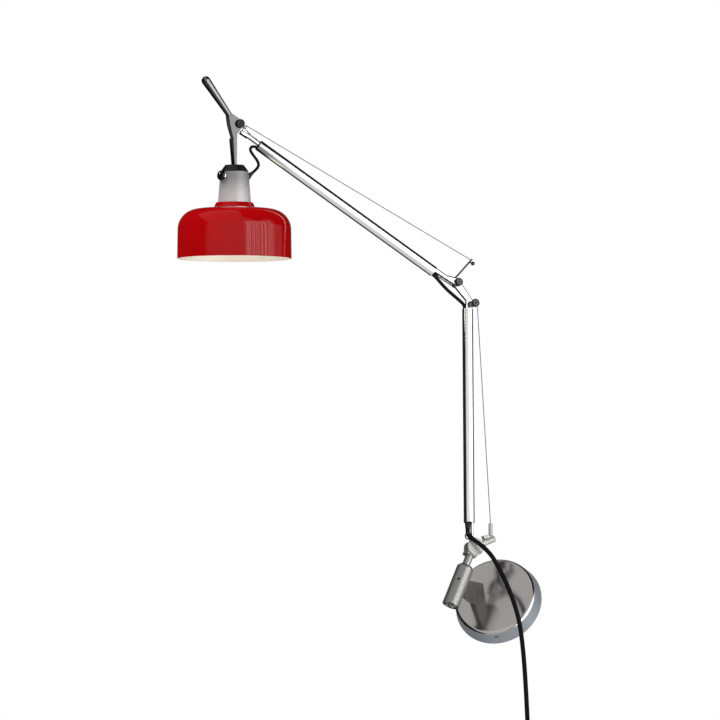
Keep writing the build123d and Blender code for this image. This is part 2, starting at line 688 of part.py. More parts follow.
guide_place = lower.from_local_coords((15.2, 11.0, 6.4))
guide_way = lower.x_dir * -3.4 + lower.y_dir * 1.0 + lower.z_dir * 6.5
guide_plane = Plane(origin=guide_place, x_dir=lower.y_dir, z_dir=guide_way)
guide_foot = lower.from_local_coords((EYE_RADIUS * 0.6, EYE_RADIUS * 0.8, EYE_HALF - 2.8))
guide_foot_way = guide_place - guide_foot
with BuildPart() as cord_guide:
    with BuildSketch(guide_plane):
        Circle(GUIDE_RADIUS + GUIDE_WIRE)
        Circle(GUIDE_RADIUS - GUIDE_WIRE, mode=Mode.SUBTRACT)
    extrude(amount=GUIDE_WIRE, both=True)
    fillet(cord_guide.edges(), GUIDE_WIRE * 0.8)
    with BuildSketch(Plane(origin=guide_foot, z_dir=guide_foot_way)):
        Circle(GUIDE_WIRE)
    extrude(amount=guide_foot_way.length - GUIDE_RADIUS)
    with BuildSketch(lower.offset(-EYE_HALF)):
        Circle(EYE_RADIUS + 0.02)
    extrude(amount=2 * EYE_HALF, mode=Mode.SUBTRACT)
save(cord_guide, "cord_guide")

# elbow link: foot in the tube, lobe that carries the pulley, arm up to the elbow pivot
foot_start = LOWER_TUBE_END - FOOT_LENGTH
horn_end = (402.1, 25.3)
with BuildPart() as elbow_link:
    with BuildSketch(lower.offset(LINK_BACK)):
        with BuildLine():
            Polyline(
                (LOWER_TUBE_END, LOWER_TUBE_Y - LINK_WIDTH / 2),
                (PULLEY_X, PULLEY_Y - 1),
                (PULLEY_X + 6, PULLEY_Y + 1),
                (ELBOW_X + 4, ELBOW_Y - 5),
                (ELBOW_X - 4, ELBOW_Y + 5),
                (PULLEY_X + 4, PULLEY_Y + 11),
                (LOWER_TUBE_END, LOWER_TUBE_Y + 2),
                close=True,
            )
        make_face()
        with Locations((ELBOW_X, ELBOW_Y)):
            Circle(LINK_HUB_RADIUS)
        with Locations((PULLEY_X, PULLEY_Y)):
            Circle(PULLEY_RADIUS)
        with BuildLine():
            Polyline(
                (ELBOW_X, ELBOW_Y), (horn_end[0] - 1.26, horn_end[1] - 1.42),
                (horn_end[0] + 1.26, horn_end[1] + 1.42), (horn_end[0] - 2.6, horn_end[1] + 4.8),
                (ELBOW_X - 1, ELBOW_Y + 6.5), close=True,
            )
        make_face()
        with Locations((ELBOW_X, ELBOW_Y)):
            Circle(ELBOW_AXLE_RADIUS + RUNNING_FIT, mode=Mode.SUBTRACT)
        with Locations((PULLEY_X, PULLEY_Y)):
            Circle(PULLEY_AXLE_RADIUS + PRESS_FIT, mode=Mode.SUBTRACT)
    extrude(amount=LINK_THICKNESS)
    with BuildSketch(square_to(lower, foot_start, LOWER_TUBE_Y)):
        Circle(foot_radius)
        with Locations((0, LINK_BACK + LINK_THICKNESS)):
            Rectangle(
                2 * foot_radius, 2 * foot_radius, align=(Align.CENTER, Align.MIN),
                mode=Mode.SUBTRACT,
            )
    extrude(amount=FOOT_LENGTH)
save(elbow_link, "elbow_link")

with BuildPart() as wire_pulley:
    with BuildSketch(lower.offset(-PULLEY_HALF)):
        with Locations((PULLEY_X, PULLEY_Y)):
            Circle(PULLEY_RADIUS)
            Circle(PULLEY_AXLE_RADIUS + RUNNING_FIT, mode=Mode.SUBTRACT)
    extrude(amount=2 * PULLEY_HALF)
save(wire_pulley, "wire_pulley")


def knob_sketch(radius, x, y):
    """Round outline at a place in the current plane."""
    with Locations((x, y)):
        Circle(radius)


with BuildPart() as pulley_knob:
    with BuildSketch(lower.offset(LINK_BACK)):
        knob_sketch(PULLEY_AXLE_RADIUS, PULLEY_X, PULLEY_Y)
    extrude(amount=PULLEY_HALF + SIDE_GAP - LINK_BACK)
    with BuildSketch(lower.offset(PULLEY_HALF + SIDE_GAP)):
        knob_sketch(KNOB_RADIUS, PULLEY_X, PULLEY_Y)
    extrude(amount=KNOB_LENGTH)
    rims = [edge for edge in pulley_knob.edges().filter_by(GeomType.CIRCLE) if edge.radius > NUT_RADIUS]
    fillet(rims, KNOB_EDGE)
save(pulley_knob, "pulley_knob")

link_middle = LINK_BACK + LINK_THICKNESS / 2
lever_root = lower.from_local_coords((horn_end[0], horn_end[1], link_middle))
lever_tip = lower.from_local_coords((434.9, -3.7, link_middle))
lever_way = lever_tip - lever_root
ball_place = lower.from_local_coords((427.1, -2.5, 0))
ball_foot = lever_root + lever_way * 0.84
with BuildPart() as elbow_lever:
    with BuildSketch(Plane(origin=lever_root, z_dir=lever_way)):
        Circle(ELBOW_LEVER_RADIUS)
    extrude(amount=lever_way.length)
    with BuildSketch(Plane(origin=ball_foot, z_dir=ball_place - ball_foot)):
        Circle(ELBOW_LEVER_RADIUS * 0.6)
    extrude(amount=(ball_place - ball_foot).length)
    with Locations(Location(ball_place)):
        Sphere(LEVER_BALL_RADIUS)
    with BuildSketch(lower.offset(LINK_BACK)):
        with Locations((ELBOW_X, ELBOW_Y)):
            Circle(LINK_HUB_RADIUS + FOOT_CLEARANCE)
    extrude(amount=LINK_THICKNESS, mode=Mode.SUBTRACT)
save(elbow_lever, "elbow_lever")

# ================================================================ upper arm
prong_back_face = LINK_BACK - SIDE_GAP - PRONG_BACK
prong_gap_back = LINK_BACK - SIDE_GAP
prong_gap_front = LINK_BACK + LINK_THICKNESS + SIDE_GAP
prong_front_face = prong_gap_front + PRONG_FRONT

with BuildPart() as upper_fork:
    with BuildSketch(upper.offset(prong_back_face)):
        Circle(PRONG_HUB_RADIUS)
        with BuildLine():
            Polyline(
                (1, -PRONG_HUB_RADIUS + 0.3), (5, -PRONG_HUB_RADIUS + 1), (21, FORK_TOP - 0.2),
                (UPPER_TUBE_START, FORK_TOP), (UPPER_TUBE_START, FORK_BOTTOM),
                (0, PRONG_HUB_RADIUS - 0.6), close=True,
            )
        make_face()
        Circle(ELBOW_AXLE_RADIUS + PRESS_FIT, mode=Mode.SUBTRACT)
    extrude(amount=prong_front_face - prong_back_face)
    with BuildSketch(upper.offset(prong_gap_back)):
        with Locations((-2 * PRONG_HUB_RADIUS, 0)):
            Rectangle(
                FORK_BLOCK_START + 2 * PRONG_HUB_RADIUS, 4 * PRONG_HUB_RADIUS,
                align=(Align.MIN, Align.CENTER),
            )
    extrude(amount=prong_gap_front - prong_gap_back, mode=Mode.SUBTRACT)
    with BuildSketch(square_to(upper, UPPER_TUBE_START, UPPER_TUBE_Y)):
        Circle(foot_radius)
        cut_foot(lead_room)
    extrude(amount=FOOT_LENGTH)
save(upper_fork, "upper_fork")

with BuildPart() as elbow_knob:
    with BuildSketch(upper.offset(prong_back_face)):
        Circle(ELBOW_AXLE_RADIUS)
    extrude(amount=prong_front_face - prong_back_face)
    with BuildSketch(upper.offset(prong_front_face)):
        Circle(KNOB_RADIUS)
    extrude(amount=KNOB_LENGTH)
    fillet(elbow_knob.edges().sort_by(Axis(elbow_point, hinge_axis))[-1], KNOB_EDGE)
save(elbow_knob, "elbow_knob")

with BuildPart() as elbow_nut:
    with BuildSketch(upper.offset(prong_back_face - NUT_LENGTH)):
        RegularPolygon(NUT_RADIUS, 6)
    extrude(amount=NUT_LENGTH)
save(elbow_nut, "elbow_nut")

write_tube(upper, UPPER_TUBE_START, UPPER_TUBE_END, UPPER_TUBE_Y, "upper_tube")
upper_spring_end = UPPER_TUBE_END - FOOT_LENGTH - SPRING_TO_FOOT
head_wire_y = HEAD_PULLEY_Y + HEAD_PULLEY_RADIUS + WIRE_RADIUS + WIRE_CLEARANCE
write_spring(
    upper, UPPER_TUBE_START + FOOT_LENGTH, upper_spring_end, UPPER_TUBE_Y,
    ((upper_spring_end, UPPER_TUBE_Y + SPRING_OFFSET, 0), (HEAD_PULLEY_X, head_wire_y, 0)),
    "upper_spring",
)
upper_lead_y = UPPER_TUBE_Y + LEAD_OFFSET
elbow_lead_end = UPPER_TUBE_START + ELBOW_LEAD_DEPTH
head_lead_start = UPPER_TUBE_END - LEAD_JOIN_DEPTH
write_straight(
    square_to(upper, elbow_lead_end, upper_lead_y), head_lead_start - elbow_lead_end, lead_radius,
    "upper_tube_lead",
)

rod_y = UPPER_TUBE_Y + END_ROD_OFFSET
with BuildPart() as upper_end_rod:
    with BuildSketch(square_to(upper, UPPER_TUBE_END - FOOT_LENGTH, UPPER_TUBE_Y)):
        Circle(foot_radius)
        cut_foot(lead_room)
    extrude(amount=FOOT_LENGTH)
    with BuildSketch(square_to(upper, UPPER_TUBE_END - FOOT_LENGTH / 2, rod_y)):
        Circle(END_ROD_RADIUS)
    extrude(amount=LUG_START + 4 - UPPER_TUBE_END + FOOT_LENGTH / 2)
    with BuildSketch(upper.offset(-LUG_HALF)):
        with BuildLine():
            Polyline(
                (LUG_START, rod_y - END_ROD_RADIUS), (LUG_END, LUG_TOP), (LUG_END, LUG_BOTTOM),
                (LUG_START, rod_y + END_ROD_RADIUS), close=True,
            )
        make_face()
    extrude(amount=2 * LUG_HALF)
    with BuildSketch(upper.offset(-LUG_HALF)):
        with BuildLine():
            Polyline(
                (HEAD_PULLEY_X - 3, LUG_TOP + 3), (HEAD_PULLEY_X - 2.4, HEAD_PULLEY_Y - 1),
                (HEAD_PULLEY_X, HEAD_PULLEY_Y - 2), (LUG_END, HEAD_PULLEY_Y), (LUG_END, LUG_TOP + 3),
                close=True,
            )
        make_face()
    extrude(amount=LUG_HALF - HEAD_PULLEY_HALF - 0.2)
    with BuildSketch(square_to(upper, LUG_START, SWIVEL_AXIS_Y)):
        Circle(SWIVEL_PIN_RADIUS + RUNNING_FIT)
    extrude(amount=LUG_END - LUG_START, mode=Mode.SUBTRACT)
    with BuildSketch(upper.offset(-HEAD_PULLEY_HALF)):
        with BuildLine():
            Polyline(
                (UPPER_TUBE_END - FOOT_LENGTH - 1, UPPER_TUBE_Y + SPRING_OFFSET + 1.5),
                (UPPER_TUBE_END - FOOT_LENGTH - 1, -1), (LUG_END, -5), (LUG_END, head_wire_y + 1),
                close=True,
            )
        make_face()
    extrude(amount=2 * HEAD_PULLEY_HALF, mode=Mode.SUBTRACT)
save(upper_end_rod, "upper_end_rod")

with BuildPart() as head_pulley:
    with BuildSketch(upper.offset(-HEAD_PULLEY_HALF)):
        knob_sketch(HEAD_PULLEY_RADIUS, HEAD_PULLEY_X, HEAD_PULLEY_Y)
    extrude(amount=2 * HEAD_PULLEY_HALF - SIDE_GAP)
save(head_pulley, "head_pulley")

with BuildPart() as lead_grommet:
    with BuildSketch(square_to(upper, UPPER_TUBE_END, upper_lead_y)):
        Circle(HEAD_LEAD_DIAMETER / 2 + GROMMET_WALL)
        Circle(HEAD_LEAD_DIAMETER / 2 + FOOT_CLEARANCE, mode=Mode.SUBTRACT)
        with Locations((END_ROD_OFFSET - LEAD_OFFSET, 0)):
            Circle(END_ROD_RADIUS + FOOT_CLEARANCE, mode=Mode.SUBTRACT)
    extrude(amount=GROMMET_LENGTH)
save(lead_grommet, "lead_grommet")

# ================================================================ head swivel
with BuildPart() as swivel_eye:
    with BuildSketch(eye_frame.offset(-LUG_HALF)):
        Circle(SWIVEL_EYE_RADIUS)
    extrude(amount=2 * LUG_HALF)
    with BuildSketch(eye_frame.offset(-LUG_HALF)):
        with Locations((LUG_END + SIDE_GAP - HEAD_KNOB_X, 1.5)):
            Rectangle(HEAD_KNOB_X - LUG_END - SIDE_GAP, 5.5, align=(Align.MIN, Align.MIN))
    extrude(amount=2 * LUG_HALF)
    with BuildSketch(square_to(upper, LUG_START + SIDE_GAP, SWIVEL_AXIS_Y)):
        Circle(SWIVEL_PIN_RADIUS)
    extrude(amount=LUG_END - LUG_START + 1)
    with BuildSketch(eye_frame.offset(-LUG_HALF)):
        Circle(HEAD_AXLE_RADIUS + RUNNING_FIT)
    extrude(amount=2 * LUG_HALF, mode=Mode.SUBTRACT)
save(swivel_eye, "swivel_eye")

# ================================================================ head
handle_way = Vector(HANDLE_TIP[0] - HANDLE_ROOT[0], HANDLE_TIP[1] - HANDLE_ROOT[1], 0)
handle_root_point = head.from_local_coords((HANDLE_ROOT[0], HANDLE_ROOT[1], HANDLE_Z))
handle_tip_point = head.from_local_coords((HANDLE_TIP[0], HANDLE_TIP[1], HANDLE_Z))
handle_line = (handle_tip_point - handle_root_point).normalized()
handle_end = (handle_tip_point - handle_root_point).length - HANDLE_TIP_RADIUS
bracket_back = LUG_HALF + SIDE_GAP

with BuildPart() as head_bracket:
    with BuildSketch(head.offset(bracket_back)):
        with BuildLine():
            Polyline(
                (-20.7, 11.7), (-18.9, -2), (-13.2, -21.5), (-9.9, CAP_TOP), (-3.6, CAP_TOP),
                (-3.2, -14.8), (4.5, -6.5), (0, 7), (-13.5, 16.75), close=True,
            )
        make_face()
        Circle(HEAD_KNOB_RADIUS + 1)
        Circle(HEAD_AXLE_RADIUS + PRESS_FIT, mode=Mode.SUBTRACT)
    extrude(amount=BRACKET_FRONT)
    with BuildSketch(head.offset(HEAD_STEM_BACK)):
        with BuildLine():
            Polyline(
                (-13.6, -19), (-9.9, CAP_TOP), (-3.6, CAP_TOP), (-3.3, -19), close=True,
            )
        make_face()
    extrude(amount=bracket_back + BRACKET_FRONT - HEAD_STEM_BACK)
    with BuildSketch(Plane(origin=handle_root_point - handle_line * HANDLE_SINK, z_dir=handle_line)):
        Circle(HANDLE_ROOT_RADIUS)
    extrude(amount=HANDLE_SINK)
save(head_bracket, "head_bracket")

with BuildPart() as handle:
    with BuildSketch(Plane(origin=handle_root_point, z_dir=handle_line)):
        Circle(HANDLE_ROOT_RADIUS)
    with BuildSketch(Plane(origin=handle_root_point + handle_line * handle_end, z_dir=handle_line)):
        Circle(HANDLE_TIP_RADIUS)
    loft()
    with Locations(Location(handle_root_point + handle_line * handle_end)):
        Sphere(HANDLE_TIP_RADIUS)
save(handle, "handle")

with BuildPart() as head_knob:
    with BuildSketch(head.offset(-bracket_back)):
        Circle(HEAD_AXLE_RADIUS)
    extrude(amount=2 * bracket_back + BRACKET_FRONT)
    with BuildSketch(head.offset(bracket_back + BRACKET_FRONT)):
        Circle(HEAD_KNOB_RADIUS)
    extrude(amount=HEAD_KNOB_LENGTH)
    fillet(head_knob.edges().sort_by(Axis(head_point, tilt_axis))[-1], KNOB_EDGE)
    with BuildSketch(head.offset(-bracket_back)):
        RegularPolygon(HEAD_AXLE_RADIUS + 2, 6)
    extrude(amount=-NUT_LENGTH)
save(head_knob, "head_knob")

turned = turning_plane(head, SHADE_X)
shade_axis = turning_axis(turned)


def write_turned(points, name):
    """Closed piece turned about the shade's axis from (radius, height) points."""
    with BuildPart() as piece:
        with BuildSketch(turned):
            with BuildLine():
                Polyline(*points, close=True)
            make_face()
        revolve(axis=shade_axis)
    save(piece, name)


write_turned(
    [
        (0, CAP_TOP), (CAP_TOP_RADIUS, CAP_TOP), (NECK_TOP_RADIUS, NECK_TOP + 0.8),
        (NECK_TOP_RADIUS, NECK_TOP), (NECK_TOP_RADIUS - 2, NECK_TOP),
        (CAP_TOP_RADIUS - 1, CAP_TOP - 3), (0, CAP_TOP - 3),
    ],
    "neck_cap",
)

neck_slope = (NECK_BOTTOM_RADIUS - NECK_TOP_RADIUS) / (NECK_TOP - NECK_BOTTOM)
switch_surface = NECK_TOP_RADIUS + neck_slope * (NECK_TOP - SWITCH_Y)
switch_turn = radians(SWITCH_TURN)
switch_way = (head.x_dir * -cos(switch_turn) + head.z_dir * sin(switch_turn)).normalized()
switch_root = head.from_local_coords((SHADE_X, SWITCH_Y, 0))
switch_plane = Plane(origin=switch_root, x_dir=head.y_dir, z_dir=switch_way)
relief_turn = radians(RELIEF_ANGLE)
relief_way = head.x_dir * cos(relief_turn) + head.y_dir * sin(relief_turn)
relief_root = head.from_local_coords((SHADE_X + switch_surface - 1, RELIEF_Y, 0))
relief_plane = Plane(origin=relief_root, x_dir=head.z_dir, z_dir=relief_way)

with BuildPart() as neck_shell:
    with BuildSketch(turned):
        with BuildLine():
            Polyline(
                (NECK_TOP_RADIUS, NECK_TOP), (NECK_BOTTOM_RADIUS, NECK_BOTTOM),
                (NECK_BOTTOM_RADIUS - NECK_WALL, NECK_BOTTOM),
                (NECK_TOP_RADIUS - NECK_WALL, NECK_TOP), close=True,
            )
        make_face()
    revolve(axis=shade_axis)
    with BuildSketch(switch_plane):
        Circle(BEZEL_SHANK_RADIUS + PRESS_FIT)
    extrude(amount=NECK_BOTTOM_RADIUS, mode=Mode.SUBTRACT)
    with BuildSketch(relief_plane.offset(-4 * NECK_WALL)):
        Circle(lead_radius + LEAD_HOLE_CLEARANCE)
    extrude(amount=12 * NECK_WALL, mode=Mode.SUBTRACT)
save(neck_shell, "neck_shell")

shade_inner_foot = COLLAR_FOOT_RADIUS - SHADE_WALL
with BuildPart() as shade:
    with BuildSketch(turned):
        with BuildLine():
            FilletPolyline(
                (SHADE_HOLE_RADIUS, NECK_BOTTOM), (COLLAR_TOP_RADIUS, NECK_BOTTOM),
                (COLLAR_FOOT_RADIUS, COLLAR_FOOT), (SHADE_RADIUS - 0.9, COLLAR_FOOT - 5.3),
                (SHADE_RADIUS, SHADE_RIM), radius=[1.5, 2, SHADE_SHOULDER],
            )
            FilletPolyline(
                (SHADE_HOLE_RADIUS, NECK_BOTTOM - SHADE_WALL),
                (COLLAR_TOP_RADIUS - SHADE_WALL, NECK_BOTTOM - SHADE_WALL),
                (shade_inner_foot, COLLAR_FOOT - SHADE_WALL),
                (SHADE_RADIUS - 0.9 - SHADE_WALL, COLLAR_FOOT - 5.3 - SHADE_WALL),
                (SHADE_RADIUS - SHADE_WALL, SHADE_RIM),
                radius=[1, 2, SHADE_SHOULDER - SHADE_WALL],
            )
            Line((SHADE_HOLE_RADIUS, NECK_BOTTOM), (SHADE_HOLE_RADIUS, NECK_BOTTOM - SHADE_WALL))
            Line((SHADE_RADIUS, SHADE_RIM), (SHADE_RADIUS - SHADE_WALL, SHADE_RIM))
        make_face()
    revolve(axis=shade_axis)
save(shade, "shade")

ring_top = NECK_BOTTOM - SHADE_WALL
write_turned(
    [
        (0, HOLDER_TOP), (HOLDER_RADIUS, HOLDER_TOP), (HOLDER_RADIUS, HOLDER_BOTTOM),
        (HOLDER_BORE, HOLDER_BOTTOM), (HOLDER_BORE, HOLDER_TOP - 6), (0, HOLDER_TOP - 6),
    ],
    "lampholder",
)
write_turned(
    [
        (HOLDER_RADIUS, ring_top), (RING_RADIUS, ring_top),
        (RING_RADIUS, ring_top - RING_THICKNESS), (HOLDER_RADIUS, ring_top - RING_THICKNESS),
    ],
    "shade_ring",
)
bulb_top = HOLDER_TOP - 6 - SIDE_GAP
bulb_seat = bulb_top - BULB_CAP_LENGTH
bulb_centre = BULB_TIP + BULB_RADIUS
write_turned(
    [
        (0, bulb_top), (BULB_CAP_RADIUS / 2, bulb_top), (BULB_CAP_RADIUS, bulb_top - 4),
        (BULB_CAP_RADIUS, bulb_seat), (0, bulb_seat),
    ],
    "bulb_cap",
)
with BuildPart() as bulb:
    with BuildSketch(turned):
        with BuildLine():
            Line((0, BULB_TIP), (0, bulb_seat))
            Line((0, bulb_seat), (BULB_CAP_RADIUS, bulb_seat))
            Line((BULB_CAP_RADIUS, bulb_seat), (BULB_CAP_RADIUS, HOLDER_BOTTOM))
            Spline(
                (BULB_CAP_RADIUS, HOLDER_BOTTOM), (BULB_RADIUS, bulb_centre),
                tangents=((0, -1), (0, -1)),
            )
            CenterArc((0, bulb_centre), BULB_RADIUS, -90, 90)
        make_face()
    revolve(axis=shade_axis)
save(bulb, "bulb")

with BuildPart() as switch_bezel:
    with BuildSketch(switch_plane.offset(switch_surface - BEZEL_SHANK_DEPTH)):
        Circle(BEZEL_SHANK_RADIUS)
        Circle(SWITCH_SHAFT_RADIUS + RUNNING_FIT, mode=Mode.SUBTRACT)
    extrude(amount=BEZEL_SHANK_DEPTH + BEZEL_SEAT + 0.1)
    with BuildSketch(switch_plane.offset(switch_surface + BEZEL_SEAT)):
        Circle(BEZEL_RADIUS)
        Circle(SWITCH_SHAFT_RADIUS + RUNNING_FIT, mode=Mode.SUBTRACT)
    extrude(amount=BEZEL_THICKNESS)
save(switch_bezel, "switch_bezel")

bezel_face = switch_surface + BEZEL_SEAT + BEZEL_THICKNESS
with BuildPart() as switch_knob:
    with BuildSketch(switch_plane.offset(switch_surface - SWITCH_SHAFT_DEPTH)):
        Circle(SWITCH_SHAFT_RADIUS)
    extrude(amount=bezel_face + SIDE_GAP - switch_surface + SWITCH_SHAFT_DEPTH)
    with BuildSketch(switch_plane.offset(bezel_face + SIDE_GAP)):
        Circle(SWITCH_KNOB_RADIUS)
    extrude(amount=SWITCH_KNOB_LENGTH)
    fillet(switch_knob.edges().sort_by(Axis(switch_root, switch_way))[-1], SWITCH_KNOB_EDGE)
save(switch_knob, "switch_knob")

with BuildPart() as lead_strain_relief:
    with BuildSketch(relief_plane):
        Circle(lead_radius + RELIEF_WALL)
    extrude(amount=RELIEF_STRAIGHT)
    with BuildSketch(relief_plane.offset(RELIEF_STRAIGHT)):
        Circle(lead_radius + RELIEF_WALL)
    with BuildSketch(relief_plane.offset(RELIEF_LENGTH)):
        Circle(lead_radius + RELIEF_TIP_WALL)
    loft()
save(lead_strain_relief, "lead_strain_relief")

# ================================================================ wires
def write_wire(start, end, name):
    """Straight pull wire between two points."""
    write_straight(Plane(origin=start, z_dir=end - start), (end - start).length, WIRE_RADIUS, name)


terminal_tip = terminal_root + lower.x_dir * (stud_length + TERMINAL_LENGTH)
pulley_side = PULLEY_Y - PULLEY_RADIUS - WIRE_RADIUS - WIRE_CLEARANCE
write_wire(terminal_tip, lower.from_local_coords((PULLEY_X, pulley_side, 0)), "lower_wire")
hook_rise = ELBOW_LEVER_RADIUS + WIRE_RADIUS + WIRE_CLEARANCE
hook_place = lever_root + lever_way * 0.93 + hinge_axis * hook_rise
head_wire_top = HEAD_PULLEY_Y - HEAD_PULLEY_RADIUS - WIRE_RADIUS - WIRE_CLEARANCE
write_wire(hook_place, upper.from_local_coords((HEAD_PULLEY_X, head_wire_top, 0)), "upper_wire")

# ================================================================ leads and supply cord
lower_points = [
    (elbow_lead_start, lower_lead_y, 0), (LOWER_TUBE_END + 4.4, lower_lead_y, 0),
    (367.2, 18.2, 0), (373.6, 27.4, 0), (385.0, 43.6, 0),
]
upper_points = [(UPPER_TUBE_START - 4.8, upper_lead_y, 0), (elbow_lead_end, upper_lead_y, 0)]
elbow_route = [lower.from_local_coords(point) for point in lower_points]
elbow_route += [upper.from_local_coords(point) for point in upper_points]
write_cord(elbow_route, LEAD_DIAMETER, "elbow_lead")

relief_tip = relief_root + relief_way * RELIEF_LENGTH
head_lead_inside = [
    (head_lead_start, upper_lead_y, 0), (UPPER_TUBE_END + 3.4, upper_lead_y, 0),
]
upper_lead_route = [upper.from_local_coords(point) for point in head_lead_inside]
upper_lead_points = [(17.6, -33.2, 2.7), (16.9, -39.5, 2.5), (23.45, -46.82, 1.8)]
upper_lead_route += [head.from_local_coords(point) for point in upper_lead_points]
write_cord(upper_lead_route, HEAD_LEAD_DIAMETER, "head_lead_upper")
lower_lead_points = [(23.45, -46.82, 1.8), (28.9, -52.9, 1.2176), (31.0, -60.5, 0.6)]
lower_lead_route = [head.from_local_coords(point) for point in lower_lead_points]
lower_lead_route += [relief_tip + relief_way * 6.0, relief_tip]
write_cord(lower_lead_route, HEAD_LEAD_DIAMETER, "head_lead_lower")

bend_points = [
    (SLEEVE_END, sleeve_y, 0), (20.5, sleeve_y, 0), (16.6, 10.4, 4.2), (13.2, 11.4, 11.0),
    (6.3, 4.4, 15.8),
]
bend_route = [lower.from_local_coords(point) for point in bend_points]
crossing_points = [(-1.3, 18.6, 2.0), (-10.0, 22.0, -1.5)]
bend_route += [swing.from_local_coords(point) for point in crossing_points]
drop_start = swing.from_local_coords((-21.7, 26.0, -7.7))
cord_meeting = (bend_route[-1] + drop_start) * 0.5
bend_length = write_cord(bend_route + [cord_meeting], CORD_DIAMETER, "cord_bend")

coil_top_end = COIL_LEVEL + CORD_DIAMETER
hang_x = 50.8
hang_y = -42.0
drop_points = [
    (24.8, -88, 11.5), (31.9, -77, -7), (37.9, -67, -27.4), (42.5, -58, -48.1),
    (45.0, -52, -66.6), (46.5, -48, -89), (48.1, -45, -119.9), (49.5, -43, -167),
    (50.5, -42.2, -214.1), (hang_x, hang_y, -243), (hang_x, hang_y, coil_top_end),
]
drop_route = [cord_meeting, drop_start] + [Vector(*point) for point in drop_points]
drop_length = write_cord(drop_route, CORD_DIAMETER, "supply_cord")


# ---------------------------------------------------------------- coil, tie and plug
def coil_places():
    """Ends of the coil's half turns: spiral in, climb a layer where it reverses, spiral out."""
    inward = [COIL_OUTER_RADIUS - step * COIL_PITCH / 2 for step in range(2 * COIL_TURNS)]
    turning = COIL_OUTER_RADIUS - COIL_TURNS * COIL_PITCH
    outward_again = inward[:0:-1]
    places = [Vector(hang_x, hang_y, COIL_LEVEL)]
    side = 1
    for radius in inward + [turning] + outward_again:
        layer = hang_y if len(places) < len(inward) + 1 else hang_y - COIL_PITCH
        places.append(Vector(places[-1].X + side * 2 * radius, layer, COIL_LEVEL))
        side = -side
    return places


def half_turn_middle(start, finish, is_below):
    """Lowest or highest point of the half turn between two places."""
    rise = (finish - start).length / 2
    return (start + finish) * 0.5 + Vector(0, 0, -rise if is_below else rise)


def coil_samples(places, steps=24):
    """Points along the coil's centre line, worked out from its half turns."""
    samples = []
    for index, (start, finish) in enumerate(zip(places, places[1:])):
        centre = (start + finish) * 0.5
        top = half_turn_middle(start, finish, index % 2 == 0) - centre
        for step in range(steps):
            angle = pi * step / steps
            samples.append(centre + (start - centre) * cos(angle) + top * sin(angle))
    return samples


def least_gap(samples, apart):
    """Least distance between tube surfaces, of samples that lie at least so many steps apart."""
    points = [tuple(sample) for sample in samples]
    pairs = (
        dist(first, second)
        for place, first in enumerate(points)
        for second in points[place + apart:]
    )
    return min(pairs) - CORD_DIAMETER


places = coil_places()
with BuildPart() as cord_coil:
    with BuildLine() as turns:
        Line(places[0] + Vector(0, 0, CORD_DIAMETER), places[0])
        for index, (start, finish) in enumerate(zip(places, places[1:])):
            ThreePointArc(start, half_turn_middle(start, finish, index % 2 == 0), finish)
        Line(places[-1], places[-1] - Vector(0, 0, CORD_DIAMETER))
    with BuildSketch(Plane(origin=places[0] + Vector(0, 0, CORD_DIAMETER), z_dir=(0, 0, -1))):
        Circle(CORD_DIAMETER / 2)
    sweep(path=turns.wire())
coil_length = turns.wire().length
print("coil gap", round(least_gap(coil_samples(places), 24), 2), "length", round(coil_length, 1))
save(cord_coil, "cord_coil")

coil_wide = COIL_TURNS * COIL_PITCH + CORD_DIAMETER
coil_deep = COIL_PITCH + CORD_DIAMETER
tie_centre = Vector(
    hang_x + COIL_TURNS * COIL_PITCH / 2, hang_y - COIL_PITCH / 2, COIL_LEVEL - TIE_HEIGHT / 2
)
with BuildPart() as coil_tie:
    with BuildSketch(Plane(origin=tie_centre, x_dir=(1, 0, 0), z_dir=(0, 0, 1))):
        RectangleRounded(
            coil_wide + 2 * (TIE_CLEARANCE + TIE_THICKNESS),
            coil_deep + 2 * (TIE_CLEARANCE + TIE_THICKNESS),
            TIE_THICKNESS + 1,
        )
        RectangleRounded(
            coil_wide + 2 * TIE_CLEARANCE, coil_deep + 2 * TIE_CLEARANCE, 0.3,
            mode=Mode.SUBTRACT,
        )
    extrude(amount=TIE_HEIGHT)
save(coil_tie, "coil_tie")

tail_start = places[-1] - Vector(0, 0, CORD_DIAMETER)
tail_steps = [(0, 0, -22), (0, -16.2, -49.6), (0, -16.2, -71.6)]
tail_route = [tail_start] + [tail_start + Vector(*step) for step in tail_steps]
tail_length = write_cord(tail_route, CORD_DIAMETER, "plug_cord")
total = bend_length + drop_length + coil_length + tail_length
print("cord in all", round(total, 1))

plug_top = Plane(origin=tail_route[-1], x_dir=(1, 0, 0), z_dir=(0, 0, -1))
with BuildPart() as plug:
    with BuildSketch(plug_top):
        Circle(CORD_DIAMETER / 2 + PLUG_RELIEF_WALL)
    with BuildSketch(plug_top.offset(PLUG_RELIEF_LENGTH)):
        Ellipse(PLUG_WIDTH * 0.28, PLUG_THICKNESS * 0.42)
    loft()
    with BuildSketch(plug_top.offset(PLUG_RELIEF_LENGTH)):
        RectangleRounded(PLUG_WIDTH, PLUG_THICKNESS, PLUG_THICKNESS * 0.45)
    extrude(amount=PLUG_LENGTH)
save(plug, "plug")

with BuildPart() as plug_pins:
    with BuildSketch(plug_top.offset(PLUG_RELIEF_LENGTH + PLUG_LENGTH)):
        with GridLocations(PLUG_PIN_SPACING, 1, 2, 1):
            Circle(PLUG_PIN_RADIUS)
    extrude(amount=PLUG_PIN_LENGTH)
save(plug_pins, "plug_pins")
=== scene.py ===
from math import cos, pi, radians, sin, tan

import bmesh
import bpy
from mathutils import Matrix, Vector


